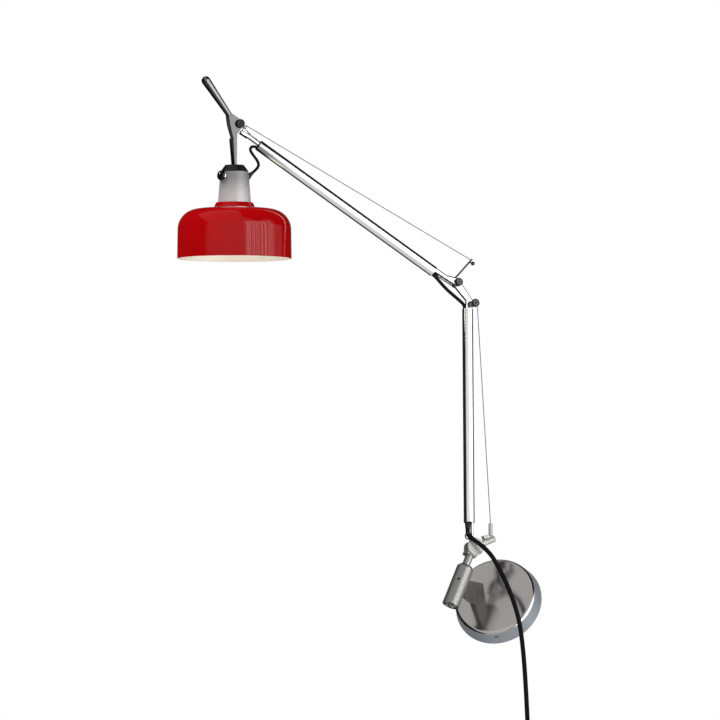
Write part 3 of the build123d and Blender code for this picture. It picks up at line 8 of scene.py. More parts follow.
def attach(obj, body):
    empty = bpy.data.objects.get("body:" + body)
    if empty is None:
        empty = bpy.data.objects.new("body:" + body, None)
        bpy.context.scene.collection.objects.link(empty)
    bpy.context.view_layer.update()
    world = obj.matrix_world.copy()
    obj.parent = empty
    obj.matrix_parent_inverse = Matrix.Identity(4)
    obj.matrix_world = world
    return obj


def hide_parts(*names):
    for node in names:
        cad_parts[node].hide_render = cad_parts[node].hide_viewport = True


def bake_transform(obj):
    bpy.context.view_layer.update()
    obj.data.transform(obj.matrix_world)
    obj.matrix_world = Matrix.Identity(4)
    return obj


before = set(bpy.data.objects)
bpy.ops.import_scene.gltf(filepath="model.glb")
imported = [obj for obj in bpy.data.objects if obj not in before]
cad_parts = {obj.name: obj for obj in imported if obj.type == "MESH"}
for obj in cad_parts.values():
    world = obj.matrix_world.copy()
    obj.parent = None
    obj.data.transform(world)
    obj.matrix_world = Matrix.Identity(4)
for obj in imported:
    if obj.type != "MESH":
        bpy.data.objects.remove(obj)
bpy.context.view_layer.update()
MM = 0.001

# ---------------------------------------------------------------- frames of the bodies
TILT = radians(22.0)
HINGE_TURN = radians(45.0)
sideways = Vector((cos(TILT), 0, -sin(TILT)))
stem_way = Vector((sin(TILT), 0, cos(TILT)))
outward = Vector((0, -1, 0))
CANOPY_DEPTH = 25.0
BARREL_ASIDE = 28.0
BARREL_OUT = 70.0
HINGE_RISE = 39.5
canopy_front = outward * CANOPY_DEPTH
barrel_centre = canopy_front - sideways * BARREL_ASIDE + outward * BARREL_OUT
hinge_axis = sideways * sin(HINGE_TURN) + outward * cos(HINGE_TURN)
hinge_side = hinge_axis.cross(stem_way)
hinge_point = barrel_centre + stem_way * HINGE_RISE


class Place:
    """Right-handed frame in millimetres, that gives world points in metres."""

    def __init__(self, origin, x_dir, z_dir):
        self.o = Vector(origin)
        self.x = Vector(x_dir).normalized()
        self.z = Vector(z_dir).normalized()
        self.y = self.z.cross(self.x)

    def mm(self, x=0.0, y=0.0, z=0.0):
        return self.o + self.x * x + self.y * y + self.z * z

    def at(self, x=0.0, y=0.0, z=0.0):
        return self.mm(x, y, z) * MM


def arm_way(angle):
    return stem_way * cos(radians(angle)) + hinge_side * sin(radians(angle))


# angles from the stem in degrees, and lengths between pivots in millimetres
LOWER_ANGLE = 23.35
LEVER_ANGLE = -42.0
UPPER_ANGLE = 83.77
ELBOW_AT = (395.5, 22.5)
UPPER_LENGTH = 406.2
HEAD_TWIST = -12.02
SHADE_ANGLE = 123.58
WORLD = Place((0, 0, 0), (1, 0, 0), (0, 0, 1))
SWING = Place(hinge_point, hinge_side, stem_way)
LOWER = Place(hinge_point, arm_way(LOWER_ANGLE), hinge_axis)
LEVER = Place(hinge_point, arm_way(LEVER_ANGLE), hinge_axis)
UPPER = Place(LOWER.mm(*ELBOW_AT), arm_way(UPPER_ANGLE), hinge_axis)
head_point = UPPER.mm(UPPER_LENGTH)
tilt_axis = Matrix.Rotation(radians(HEAD_TWIST), 3, UPPER.x) @ hinge_axis
shade_way = Matrix.Rotation(radians(SHADE_ANGLE), 3, tilt_axis) @ UPPER.x
HEAD = Place(head_point, tilt_axis.cross(shade_way), tilt_axis)

# ---------------------------------------------------------------- camera
SCALE = 1.47  # millimetres to a pixel at the canopy
DISTANCE = 6000.0
SENSOR = 36.0
VIEW_TURN = radians(17.0)
VIEW_DROP = radians(30.0)
FRAME_PX = 720
ORIGIN_PX = (498.7, 603.3)
to_camera = Vector(
    (sin(VIEW_TURN) * cos(VIEW_DROP), -cos(VIEW_TURN) * cos(VIEW_DROP), -sin(VIEW_DROP))
)
right = Vector((cos(VIEW_TURN), sin(VIEW_TURN), 0))
up = to_camera.cross(right)
aside_px, below_px = [FRAME_PX / 2 - place for place in ORIGIN_PX]
aim = right * (aside_px * SCALE) - up * (below_px * SCALE)
camera = bpy.data.objects.new("camera", bpy.data.cameras.new("camera"))
bpy.context.scene.collection.objects.link(camera)
camera.matrix_world = Matrix.Translation((aim + to_camera * DISTANCE) * MM) @ Matrix(
    (right, up, to_camera)
).transposed().to_4x4()
camera.data.sensor_width = SENSOR
camera.data.lens = SENSOR * DISTANCE / SCALE / FRAME_PX
camera.data.clip_end = 200.0
bpy.context.scene.camera = camera
bpy.context.scene.view_settings.view_transform = "Standard"


# ---------------------------------------------------------------- materials
class Nodes:
    """Small helper that writes the nodes of one material or world."""

    def __init__(self, tree, keep=False):
        self.tree = tree
        if not keep:
            self.tree.nodes.clear()

    def add(self, kind, **settings):
        node = self.tree.nodes.new(kind)
        for key, value in settings.items():
            if key.startswith("in_"):
                slot = key[3:]
                socket = node.inputs[int(slot) if slot.isdigit() else slot.replace("_", " ")]
                if isinstance(value, bpy.types.NodeSocket):
                    self.tree.links.new(value, socket)
                else:
                    socket.default_value = value
            else:
                setattr(node, key, value)
        return node

    def link(self, source, target):
        self.tree.links.new(source, target)

    def math(self, operation, first, second=0.5):
        return self.add("ShaderNodeMath", operation=operation, in_0=first, in_1=second).outputs[0]

    def ramp(self, value, *stops):
        node = self.add("ShaderNodeValToRGB", in_0=value)
        elements = node.color_ramp.elements
        while len(elements) < len(stops):
            elements.new(0.5)
        for element, (place, colour) in zip(elements, stops):
            element.position = place
            element.color = colour if len(colour) == 4 else (*colour, 1)
        return node.outputs[0]

    def noise(self, coordinates, scale, detail=4.0):
        return self.add(
            "ShaderNodeTexNoise", in_Vector=coordinates, in_Scale=scale, in_Detail=detail
        ).outputs[0]


def shades(colour, low, high):
    """Darker and lighter versions of a colour."""
    return [tuple(min(1.0, part * share) for part in colour) for share in (low, high)]


FINE_SCALE = 420.0
FINE_DEPTH = 0.0001
COAT_ROUGHNESS = 0.04
# colour painted onto rounded edges: a painted reflection of the dark surround
PAINTED_DARK_EDGE = (0.015, 0.015, 0.016, 1)
COLOUR_A, COLOUR_B, COLOUR_OUT = 6, 7, 2  # the colour sockets of a Mix node
FLOAT_A, FLOAT_B, FLOAT_OUT = 2, 3, 0  # and its number sockets


def surface(
    name, colour, rough, metal, spread, scale, grain, rough_spread=0.05, coat=0.0, edge=0.0,
    **sockets,
):
    """Material whose colour, roughness and relief vary over the surface. With an edge, in metres,
    the corners are shaded round and painted dark: a painted reflection of the dark surround."""
    material = bpy.data.materials.new(name)
    material.use_nodes = True
    nodes = Nodes(material.node_tree)
    where = nodes.add("ShaderNodeTexCoord").outputs["Object"]
    cloud = nodes.noise(where, scale)
    dark, light = shades(colour, 1 - spread, 1 + spread)
    tint = nodes.ramp(cloud, (0.3, dark), (0.7, light))
    speck = nodes.noise(where, FINE_SCALE, 1.0)
    low, high = max(0.02, rough - rough_spread), min(1.0, rough + rough_spread)
    gloss = nodes.add(
        "ShaderNodeMapRange", in_Value=nodes.noise(where, scale * 0.6, 5.0), in_3=low, in_4=high
    ).outputs[0]
    relief = nodes.add(
        "ShaderNodeBump", in_Strength=grain, in_Distance=FINE_DEPTH, in_Height=speck
    )
    if edge:
        soft_edge = nodes.add("ShaderNodeBevel", in_Radius=edge, samples=8)
        nodes.link(soft_edge.outputs[0], relief.inputs["Normal"])
        plain = nodes.add("ShaderNodeNewGeometry").outputs["Normal"]
        meet = nodes.add(
            "ShaderNodeVectorMath", operation="DOT_PRODUCT", in_0=soft_edge.outputs[0], in_1=plain
        )
        inner = nodes.add(
            "ShaderNodeMapRange", in_Value=meet.outputs["Value"], in_1=0.84, in_2=0.96, in_3=0.0,
            in_4=1.0,
        )
        # the rounded edges are painted dark, a painted reflection of the dark surround
        painted_edge = nodes.add("ShaderNodeMix", data_type="RGBA", in_0=inner.outputs[0])
        painted_edge.inputs[COLOUR_A].default_value = PAINTED_DARK_EDGE
        nodes.link(tint, painted_edge.inputs[COLOUR_B])
        tint = painted_edge.outputs[COLOUR_OUT]
    shader = nodes.add(
        "ShaderNodeBsdfPrincipled", in_Base_Color=tint, in_Metallic=metal, in_Roughness=gloss,
        in_Normal=relief.outputs[0], in_Coat_Weight=coat, in_Coat_Roughness=COAT_ROUGHNESS,
        **sockets,
    )
    output = nodes.add("ShaderNodeOutputMaterial")
    nodes.link(shader.outputs[0], output.inputs[0])
    return material


def run_along(nodes, owner, start, way, low, high):
    """Share from 0 to 1 along a world direction (millimetres), kept in the piece's own space."""
    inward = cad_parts[owner].matrix_world.inverted()
    first = inward @ (Vector(start) * MM)
    local_way = (inward.to_3x3() @ Vector(way)).normalized()
    where = nodes.add("ShaderNodeTexCoord").outputs["Object"]
    moved = nodes.add("ShaderNodeVectorMath", operation="SUBTRACT", in_0=where)
    moved.inputs[1].default_value = first
    part = nodes.add("ShaderNodeVectorMath", operation="DOT_PRODUCT", in_0=moved.outputs[0])
    part.inputs[1].default_value = local_way
    return nodes.add(
        "ShaderNodeMapRange", interpolation_type="SMOOTHSTEP", in_Value=part.outputs["Value"],
        in_1=low * MM, in_2=high * MM, in_3=0.0, in_4=1.0,
    ).outputs[0]


def blend_look(material, owner, start, way, low, high, **changes):
    """Lets inputs of a material change along its piece, from their value to the given one."""
    nodes = Nodes(material.node_tree, keep=True)
    share = run_along(nodes, owner, start, way, low, high)
    shader = next(n for n in material.node_tree.nodes if n.type == "BSDF_PRINCIPLED")
    for key, value in changes.items():
        socket = shader.inputs[key.replace("_", " ")]
        colour = isinstance(value, tuple)
        mix = nodes.add("ShaderNodeMix", data_type="RGBA" if colour else "FLOAT", in_0=share)
        a, b, out = (COLOUR_A, COLOUR_B, COLOUR_OUT) if colour else (FLOAT_A, FLOAT_B, FLOAT_OUT)
        first, second = mix.inputs[a], mix.inputs[b]
        if socket.is_linked:
            nodes.link(socket.links[0].from_socket, first)
        else:
            first.default_value = socket.default_value
        second.default_value = (*value, 1) if colour else value
        nodes.link(mix.outputs[out], socket)


def painted_glints(name, *stops, scale):
    """Screw head painted in light and dark patches: a painted reflection of glints on its facets.
    """
    material = bpy.data.materials.new(name)
    material.use_nodes = True
    nodes = Nodes(material.node_tree)
    where = nodes.add("ShaderNodeTexCoord").outputs["Object"]
    cells = nodes.add("ShaderNodeTexVoronoi", in_Vector=where, in_Scale=scale)
    pick = nodes.add("ShaderNodeSeparateColor", in_0=cells.outputs["Color"]).outputs[0]
    tint = nodes.ramp(pick, *stops)
    shader = nodes.add(
        "ShaderNodeBsdfPrincipled", in_Base_Color=tint, in_Metallic=0.4, in_Roughness=0.3
    )
    nodes.link(shader.outputs[0], nodes.add("ShaderNodeOutputMaterial").inputs[0])
    return material


def woven(name, colour, strands, rows):
    """Twill sleeve of a textile cord, laid out in the tube's own length and turn."""
    material = bpy.data.materials.new(name)
    material.use_nodes = True
    nodes = Nodes(material.node_tree)
    cell = nodes.add("ShaderNodeUVMap", uv_map="run").outputs[0]
    split = nodes.add("ShaderNodeSeparateXYZ", in_0=cell)
    turn = nodes.math("MULTIPLY", split.outputs[0], 2 * pi * strands)
    run = nodes.math("MULTIPLY", split.outputs[1], rows * 2 * pi)
    left = nodes.math("SINE", nodes.math("ADD", turn, run))
    other = nodes.math("SINE", nodes.math("SUBTRACT", turn, run))
    weave = nodes.math("MAXIMUM", left, other)
    height = nodes.math("MULTIPLY_ADD", weave, 0.5)  # the node adds its own 0.5
    # the twill pattern, with its grooves painted darker and strand tops lighter: painted shade and
    # a painted sheen
    dark, light = shades(colour, 0.45, 1.9)
    tint = nodes.ramp(height, (0.25, dark), (0.95, light))
    relief = nodes.add("ShaderNodeBump", in_Strength=0.5, in_Distance=0.0002, in_Height=height)
    shader = nodes.add(
        "ShaderNodeBsdfPrincipled", in_Base_Color=tint, in_Roughness=0.55,
        in_Normal=relief.outputs[0], in_Specular_IOR_Level=0.06,
    )
    output = nodes.add("ShaderNodeOutputMaterial")
    nodes.link(shader.outputs[0], output.inputs[0])
    return material


chrome = surface("chrome", (0.5, 0.5, 0.51), 0.2, 1.0, 0.03, 100, 0.0)
tube_metal = surface("tube_chrome", (0.92, 0.92, 0.93), 0.13, 1.0, 0.03, 40, 0.0)
upper_tube_metal = surface("upper_tube_chrome", (0.92, 0.92, 0.93), 0.13, 1.0, 0.03, 40, 0.0)
# the upper tube is painted darker from 290 mm to 360 mm along the arm, towards the head: a painted
# reflection
blend_look(
    upper_tube_metal, "upper_tube", UPPER.mm(290.0), UPPER.x, 0.0, 70.0,
    Base_Color=(0.3, 0.3, 0.305),
)
canopy_metal = surface(
    "canopy_metal", (0.5, 0.48, 0.465), 0.14, 1.0, 0.03, 30, 0.0, rough_spread=0.02
)
# the canopy's side wall is painted a paler blue-grey, duller and less metallic than its face: a
# painted reflection of the bright surround
blend_look(
    canopy_metal, "canopy", canopy_front, (0, 1, 0), 2.0, 3.6, Base_Color=(0.36, 0.39, 0.42),
    Metallic=0.35, Roughness=0.4,
)
# the screw heads carry painted glints in brown, grey and white, a painted reflection
screw_face = painted_glints(
    "screw_face", (0.0, (0.01, 0.008, 0.006)), (0.35, (0.16, 0.07, 0.03)),
    (0.6, (0.02, 0.02, 0.02)), (0.8, (0.9, 0.9, 0.9)), scale=420.0,
)
barrel_metal = surface(
    "barrel_metal", (0.25, 0.25, 0.245), 0.36, 0.75, 0.03, 60, 0.0, rough_spread=0.02
)
# the fin, behind the barrel towards the wall, is painted darker than the barrel: painted shade
blend_look(
    barrel_metal, "wall_bracket", barrel_centre, (0, 1, 0), 13.0, 15.0,
    Base_Color=(0.13, 0.13, 0.13),
)
# its rounded edges carry the painted dark reflection
satin = surface(
    "satin_metal", (0.62, 0.62, 0.63), 0.16, 1.0, 0.04, 120, 0.0, rough_spread=0.02, edge=0.004
)
bracket_metal = surface(
    "bracket_metal", (0.085, 0.085, 0.088), 0.16, 1.0, 0.04, 120, 0.0, rough_spread=0.02
)
stem_metal = surface("stem_metal", (0.34, 0.33, 0.325), 0.3, 0.65, 0.05, 120, 0.0)
steel = surface("steel", (0.42, 0.42, 0.43), 0.28, 1.0, 0.08, 200, 0.01)
wire_steel = surface("wire_steel", (0.12, 0.12, 0.125), 0.4, 1.0, 0.1, 400, 0.02)
grip_metal = surface(
    "grip_metal", (0.16, 0.16, 0.165), 0.16, 1.0, 0.04, 120, 0.0, rough_spread=0.02
)
bright = surface("bright_steel", (0.85, 0.85, 0.85), 0.12, 1.0, 0.04, 200, 0.0)
dark_metal = surface("dark_metal", (0.05, 0.05, 0.055), 0.3, 1.0, 0.15, 200, 0.01)
disc_metal = surface(
    "disc_metal", (0.48, 0.475, 0.47), 0.45, 0.3, 0.03, 100, 0.0, rough_spread=0.02
)
DULL = {"in_Specular_IOR_Level": 0.2}
black = surface("black_plastic", (0.008, 0.008, 0.008), 0.4, 0.0, 0.2, 300, 0.05, **DULL)
gloss_black = surface("gloss_black", (0.006, 0.006, 0.006), 0.2, 0.0, 0.2, 300, 0.0, **DULL)
knob_gray = surface("knob_gray", (0.055, 0.055, 0.057), 0.4, 0.0, 0.05, 200, 0.0)
neck_metal = surface(
    "neck_metal", (0.24, 0.24, 0.24), 0.5, 0.2, 0.01, 60, 0.0, rough_spread=0.01
)
# the neck is painted darker under the cap and lighter towards the shade: painted shade
blend_look(
    neck_metal, "neck_shell", HEAD.mm(0, -74.0, 0), -HEAD.y, 0.0, 36.0,
    Base_Color=(0.56, 0.56, 0.56),
)
cap_metal = surface("cap_metal", (0.02, 0.02, 0.022), 0.35, 0.6, 0.1, 200, 0.01)
red_paint = surface(
    "red_enamel", (0.44, 0.0015, 0.003), 0.05, 0.0, 0.05, 40, 0.0, rough_spread=0.02, coat=0.12,
    in_Specular_IOR_Level=0.14,
)
white_paint = surface("white_enamel", (0.9, 0.86, 0.8), 0.35, 0.0, 0.03, 90, 0.02)
brass = surface("brass", (0.68, 0.55, 0.26), 0.28, 1.0, 0.08, 200, 0.02)
cord_cloth = woven("cord_cloth", (0.0045, 0.0045, 0.005), 8, 260.0)
lead_cloth = woven("lead_cloth", (0.0045, 0.0045, 0.005), 6, 340.0)
opal = surface(
    "opal_glass", (0.93, 0.88, 0.78), 0.3, 0.0, 0.02, 80, 0.0,
    in_Emission_Color=(1.0, 0.86, 0.66, 1), in_Emission_Strength=1.6,
)

LOOKS = {
    chrome: "wall_backplate hinge_axle lower_end_rod lower_spring upper_spring swivel_eye"
    " lower_wire upper_wire",
    tube_metal: "lower_tube",
    upper_tube_metal: "upper_tube",
    canopy_metal: "canopy",
    barrel_metal: "wall_bracket",
    satin: "elbow_link upper_fork upper_end_rod head_pulley wire_pulley",
    bracket_metal: "head_bracket",
    stem_metal: "stem",
    screw_face: "barrel_end_screw canopy_grub_screw",
    steel: "fin_screws barrel_bush_bottom elbow_nut shade_ring plug_pins",
    disc_metal: "hinge_disc wire_clamp_block base_lever lower_wire_terminal",
    dark_metal: "barrel_set_screw elbow_lever cord_guide barrel_bush_top",
    black: "exit_sleeve lead_grommet lead_strain_relief lampholder plug coil_tie elbow_knob"
    " pulley_knob head_knob",
    gloss_black: "switch_knob",
    grip_metal: "handle",
    neck_metal: "neck_shell",
    cap_metal: "neck_cap",
    bright: "switch_bezel",
    red_paint: "shade",
    cord_cloth: "supply_cord cord_coil plug_cord cord_bend",
    lead_cloth: "lower_tube_lead upper_tube_lead elbow_lead head_lead_upper head_lead_lower",
    opal: "bulb",
    brass: "bulb_cap",
}
for material, names in LOOKS.items():
    for name in names.split():
        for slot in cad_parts[name].material_slots:
            slot.material = material


# ---------------------------------------------------------------- mesh helpers
def mesh_object(name, verts, faces, materials, indices=None, smooth=True):
    mesh = bpy.data.meshes.new(name)
    mesh.from_pydata([tuple(v) for v in verts], [], faces)
    for material in materials:
        mesh.materials.append(material)
    if indices:
        mesh.polygons.foreach_set("material_index", indices)
    if smooth:
        mesh.polygons.foreach_set("use_smooth", [True] * len(mesh.polygons))
    mesh.update()
    piece = bpy.data.objects.new(name, mesh)
    bpy.context.scene.collection.objects.link(piece)
    return piece


def sharpen(piece, angle=35.0):
    """Marks the edges that turn by more than the angle as sharp."""
    shape = bmesh.new()
    shape.from_mesh(piece.data)
    bmesh.ops.recalc_face_normals(shape, faces=shape.faces)
    for edge in shape.edges:
        if len(edge.link_faces) == 2 and edge.calc_face_angle() > radians(angle):
            edge.smooth = False
    shape.to_mesh(piece.data)
    shape.free()
    return piece


def rounded(points, radii, steps=14):
    """Outline whose inner corners are replaced by arcs of the given radii."""
    outline = [Vector(points[0])]
    for before, corner, after, radius in zip(points, points[1:], points[2:], radii):
        corner = Vector(corner)
        back = (Vector(before) - corner).normalized()
        ahead = (Vector(after) - corner).normalized()
        half = back.angle(ahead) / 2
        reach = radius / tan(half)
        centre = corner + (back + ahead).normalized() * (radius / sin(half))
        first = corner + back * reach - centre
        last = corner + ahead * reach - centre
        sweep = first.angle_signed(last)
        for step in range(steps + 1):
            turn = -sweep * step / steps
            outline.append(
                centre + Vector((
                    first.x * cos(turn) - first.y * sin(turn),
                    first.x * sin(turn) + first.y * cos(turn),
                ))
            )
    outline.append(Vector(points[-1]))
    return outline


def turned(
    name, start, axis, outline, materials, tags=None, segments=96, knurl=None, closed=False
):
    """Piece turned about an axis from (radius, height) points in millimetres.
    tags gives the material of each strip, and knurl maps a point's number to its tooth depth."""
    axis = axis.normalized()
    side = axis.orthogonal().normalized()
    other = axis.cross(side)
    knurl = knurl or {}
    verts, faces, indices = [], [], []
    count = len(outline)
    for number, (radius, height) in enumerate(outline):
        depth = knurl.get(number, 0.0)
        for step in range(segments):
            angle = 2 * pi * step / segments
            reach = radius - depth * (step % 4 in (0, 1))
            verts.append(
                (start + axis * height + (side * cos(angle) + other * sin(angle)) * reach) * MM
            )
    strips = count if closed else count - 1
    for number in range(strips):
        a, b = number * segments, (number + 1) % count * segments
        for step in range(segments):
            after = (step + 1) % segments
            faces.append((a + step, a + after, b + after, b + step))
            indices.append(tags[number] if tags else 0)
    piece = mesh_object(name, verts, faces, materials, indices)
    shape = bmesh.new()
    shape.from_mesh(piece.data)
    bmesh.ops.remove_doubles(shape, verts=shape.verts, dist=1e-6)
    shape.to_mesh(piece.data)
    shape.free()
    return sharpen(piece)


def spline_object(name, points):
    """Open NURBS line of order 3 through given control points, in metres."""
    curve = bpy.data.curves.new(name, "CURVE")
    curve.dimensions = "3D"
    curve.resolution_u = 12
    spline = curve.splines.new("NURBS")
    spline.points.add(len(points) - 1)
    for target, point in zip(spline.points, points):
        target.co = (*point, 1)
    spline.order_u = 3
    spline.use_endpoint_u = True
    line = bpy.data.objects.new(name, curve)
    bpy.context.scene.collection.objects.link(line)
    return line


def line_points(points):
    """Points along the smooth line of a cord, read from its spline."""
    line = spline_object("line", points)
    bpy.context.view_layer.update()
    graph = bpy.context.evaluated_depsgraph_get()
    mesh = bpy.data.meshes.new_from_object(line.evaluated_get(graph))
    places = [v.co.copy() for v in mesh.vertices]
    bpy.data.objects.remove(line)
    bpy.data.meshes.remove(mesh)
    return [p for i, p in enumerate(places) if i == 0 or (p - places[i - 1]).length > 1e-6]


def tube(name, path, radius, material, sides=20):
    """Round tube around a line of points, with its length and turn as texture coordinates."""
    ways = []
    for number in range(len(path)):
        ahead = path[min(number + 1, len(path) - 1)] - path[max(number - 1, 0)]
        ways.append(ahead.normalized())
    side = ways[0].orthogonal().normalized()
    verts, coords, run = [], [], 0.0
    for number, (point, way) in enumerate(zip(path, ways)):
        if number:
            run += (point - path[number - 1]).length
            side = (side - way * side.dot(way)).normalized()
        other = way.cross(side)
        for step in range(sides):
            angle = 2 * pi * step / sides
            verts.append(point + (side * cos(angle) + other * sin(angle)) * radius)
            coords.append(run)
    faces, uvs = [], []
    for number in range(len(path) - 1):
        a, b = number * sides, (number + 1) * sides
        for step in range(sides):
            after = (step + 1) % sides
            faces.append((a + step, a + after, b + after, b + step))
            u0, u1 = step / sides, (step + 1) / sides
            uvs += [(u0, coords[a]), (u1, coords[a]), (u1, coords[b]), (u0, coords[b])]
    last = (len(path) - 1) * sides
    faces.append(tuple(reversed(range(sides))))
    faces.append(tuple(range(last, last + sides)))
    uvs += [(0.5, 0.0)] * sides + [(0.5, run)] * sides
    piece = mesh_object(name, verts, faces, [material])
    layer = piece.data.uv_layers.new(name="run")
    layer.data.foreach_set("uv", [part for uv in uvs for part in uv])
    return sharpen(piece, 60)


# ---------------------------------------------------------------- cords
def add_cord(
    name, points, length, diameter, material, far_end, bodies, start, end, nodes, **words
):
    """Cord drawn as a tube through control points, in place of the given nodes; its bodies, start
    and end are not used.
    """
    path = line_points(points)
    piece = tube(name, path, diameter / 2, material)
    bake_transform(piece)
    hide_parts(*nodes)


SLEEVE_Y = 9.25
LEAD_Y = 10.95
UPPER_LEAD_Y = 13.0
PULLEY_X = 366.3
elbow_points = [
    LOWER.at(348.8, LEAD_Y), LOWER.at(361.2, LEAD_Y), LOWER.at(367.2, 18.2),
    LOWER.at(373.6, 27.4), LOWER.at(385.0, 43.6), UPPER.at(36.2, UPPER_LEAD_Y),
    UPPER.at(46.0, UPPER_LEAD_Y),
]
add_cord(
    "elbow_flex", elbow_points, 0.0859, 0.005, lead_cloth, "object",
    ("lower_arm", "upper_arm"), LOWER.at(361.2, LEAD_Y), UPPER.at(36.2, UPPER_LEAD_Y),
    ["elbow_lead"], stiffness="medium", lay="hanging",
)
lead_join = HEAD.at(23.45, -46.82, 1.8)
add_cord(
    "head_flex_upper",
    [
        UPPER.at(356.8, UPPER_LEAD_Y), UPPER.at(368.2, UPPER_LEAD_Y), HEAD.at(17.6, -33.2, 2.7),
        HEAD.at(16.9, -39.5, 2.5), lead_join,
    ],
    0.0333, 0.0042, lead_cloth, "object", ("upper_arm", "head_swivel"),
    UPPER.at(368.2, UPPER_LEAD_Y), lead_join, ["head_lead_upper"], stiffness="medium",
    lay="hanging",
)
SHADE_X = -6.0
NECK_RADIUS = 20.5 + 3.5 / 44.5 * 6.3  # at the height of the switch and the lead
RELIEF_TURN = radians(40)
relief_way = HEAD.x * cos(RELIEF_TURN) + HEAD.y * sin(RELIEF_TURN)
relief_root = HEAD.mm(SHADE_X + NECK_RADIUS - 1, -76.5, 0)
relief_tip = relief_root + relief_way * 8.0
add_cord(
    "head_flex_lower",
    [
        lead_join, HEAD.at(28.9, -52.9, 1.2176), HEAD.at(31.0, -60.5, 0.6),
        (relief_tip + relief_way * 6.0) * MM, relief_tip * MM,
    ],
    0.0309, 0.0042, lead_cloth, "object", ("head_swivel", "head"),
    lead_join, relief_tip * MM, ["head_lead_lower"], stiffness="medium", lay="hanging",
)
drop_start = SWING.mm(-21.7, 26.0, -7.7)
cord_meeting = (SWING.mm(-10.0, 22.0, -1.5) + drop_start) * 0.5
add_cord(
    "hinge_flex",
    [
        LOWER.at(27.0, SLEEVE_Y), LOWER.at(20.5, SLEEVE_Y), LOWER.at(16.6, 10.4, 4.2),
        LOWER.at(13.2, 11.4, 11.0), LOWER.at(6.3, 4.4, 15.8), SWING.at(-1.3, 18.6, 2.0),
        SWING.at(-10.0, 22.0, -1.5), cord_meeting * MM,
    ],
    0.0555, 0.0066, cord_cloth, "object", ("lower_arm", "swing_stem"),
    LOWER.at(16.6, 10.4, 4.2), SWING.at(-1.3, 18.6, 2.0), ["cord_bend"],
    stiffness="medium", lay="hanging",
)

COIL_LEVEL = -276.0
COIL_PITCH = 7.1
HANG_X, HANG_Y = 50.8, -42.0
COIL_RADIUS = 48.775
COIL_CORE = 27.475
LAYER_TURNS = 3
STEPS_PER_TURN = 16
CONTROL_SPREAD = 1.013  # control points lie a little outside the line they draw
supply_points = [cord_meeting * MM, drop_start * MM] + [
    WORLD.at(*point)
    for point in (
        (24.8, -88, 11.5), (31.9, -77, -7), (37.9, -67, -27.4), (42.5, -58, -48.1),
        (45.0, -52, -66.6), (46.5, -48, -89), (48.1, -45, -119.9), (49.5, -43, -167),
        (50.5, -42.2, -214.1), (HANG_X, HANG_Y, -243), (HANG_X, HANG_Y, COIL_LEVEL + 6.6),
    )
]
# the front layer winds inwards and the layer behind it outwards, in half turns
half_layer = 2 * LAYER_TURNS
coil_steps = 2 * LAYER_TURNS * STEPS_PER_TURN
for number in range(coil_steps + 1):
    half_turns = 2 * number / STEPS_PER_TURN
    inward = min(max(half_turns - half_layer, 0.0), 1.0)
    middle = HANG_X + COIL_RADIUS - COIL_PITCH / 2 * inward
    if half_turns < half_layer:
        radius = COIL_RADIUS - COIL_PITCH / 2 * half_turns
    else:
        radius = COIL_CORE + COIL_PITCH / 2 * max(half_turns - half_layer - 1, 0.0)
    radius *= CONTROL_SPREAD if 0 < number < coil_steps else 1.0
    layer = HANG_Y - COIL_PITCH * inward
    supply_points.append(
        WORLD.at(
            middle - radius * cos(pi * half_turns), layer,
            COIL_LEVEL - radius * sin(pi * half_turns),
        )
    )
tail = Vector((HANG_X, HANG_Y - COIL_PITCH, COIL_LEVEL - 6.6))
supply_points += [
    WORLD.at(*(tail + Vector(step)))
    for step in ((0, 0, 0), (0, 0, -22), (0, -16.2, -49.6), (0, -16.2, -71.6))
]
add_cord(
    "supply_flex", supply_points, 1.7787, 0.0066, cord_cloth, "plug",
    ("swing_stem", "wall_side"), cord_meeting * MM, WORLD.at(45.0, -52, -66.6),
    ["supply_cord", "cord_coil", "plug_cord"], stiffness="medium", lay="hanging",
    with_pieces=["plug", "plug_pins", "coil_tie"],
)

# ---------------------------------------------------------------- pull wires
WIRE_RADIUS = 0.6 * MM


def add_wire(name, first, last, node):
    """Taut wire: it has points at its two ends alone, so that it stays straight at every pose."""
    piece = tube(name, [first, last], WIRE_RADIUS, wire_steel, 10)
    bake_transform(piece)
    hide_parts(node)


LEVER_RADIUS = 4.75
TERMINAL_AT = 30.8
TERMINAL_LENGTH = 18.0
TERMINAL_GAP = 1.5
terminal_rise = LEVER_RADIUS / sin(radians(LOWER_ANGLE - LEVER_ANGLE)) + TERMINAL_GAP
terminal_tip = LEVER.mm(TERMINAL_AT) + LOWER.x * (terminal_rise + TERMINAL_LENGTH)
add_wire(
    "lower_pull_wire", terminal_tip * MM, LOWER.at(PULLEY_X, -9.2),
    "lower_wire",
)
HOOK_SHARE = 0.93
HOOK_OUT = 2.0
lever_root = LOWER.mm(402.1, 25.3, -4.9)
lever_tip = LOWER.mm(434.9, -3.7, -4.9)
hook = lever_root + (lever_tip - lever_root) * HOOK_SHARE + hinge_axis * HOOK_OUT
add_wire(
    "upper_pull_wire", hook * MM, UPPER.at(395.6, -5.1), "upper_wire"
)

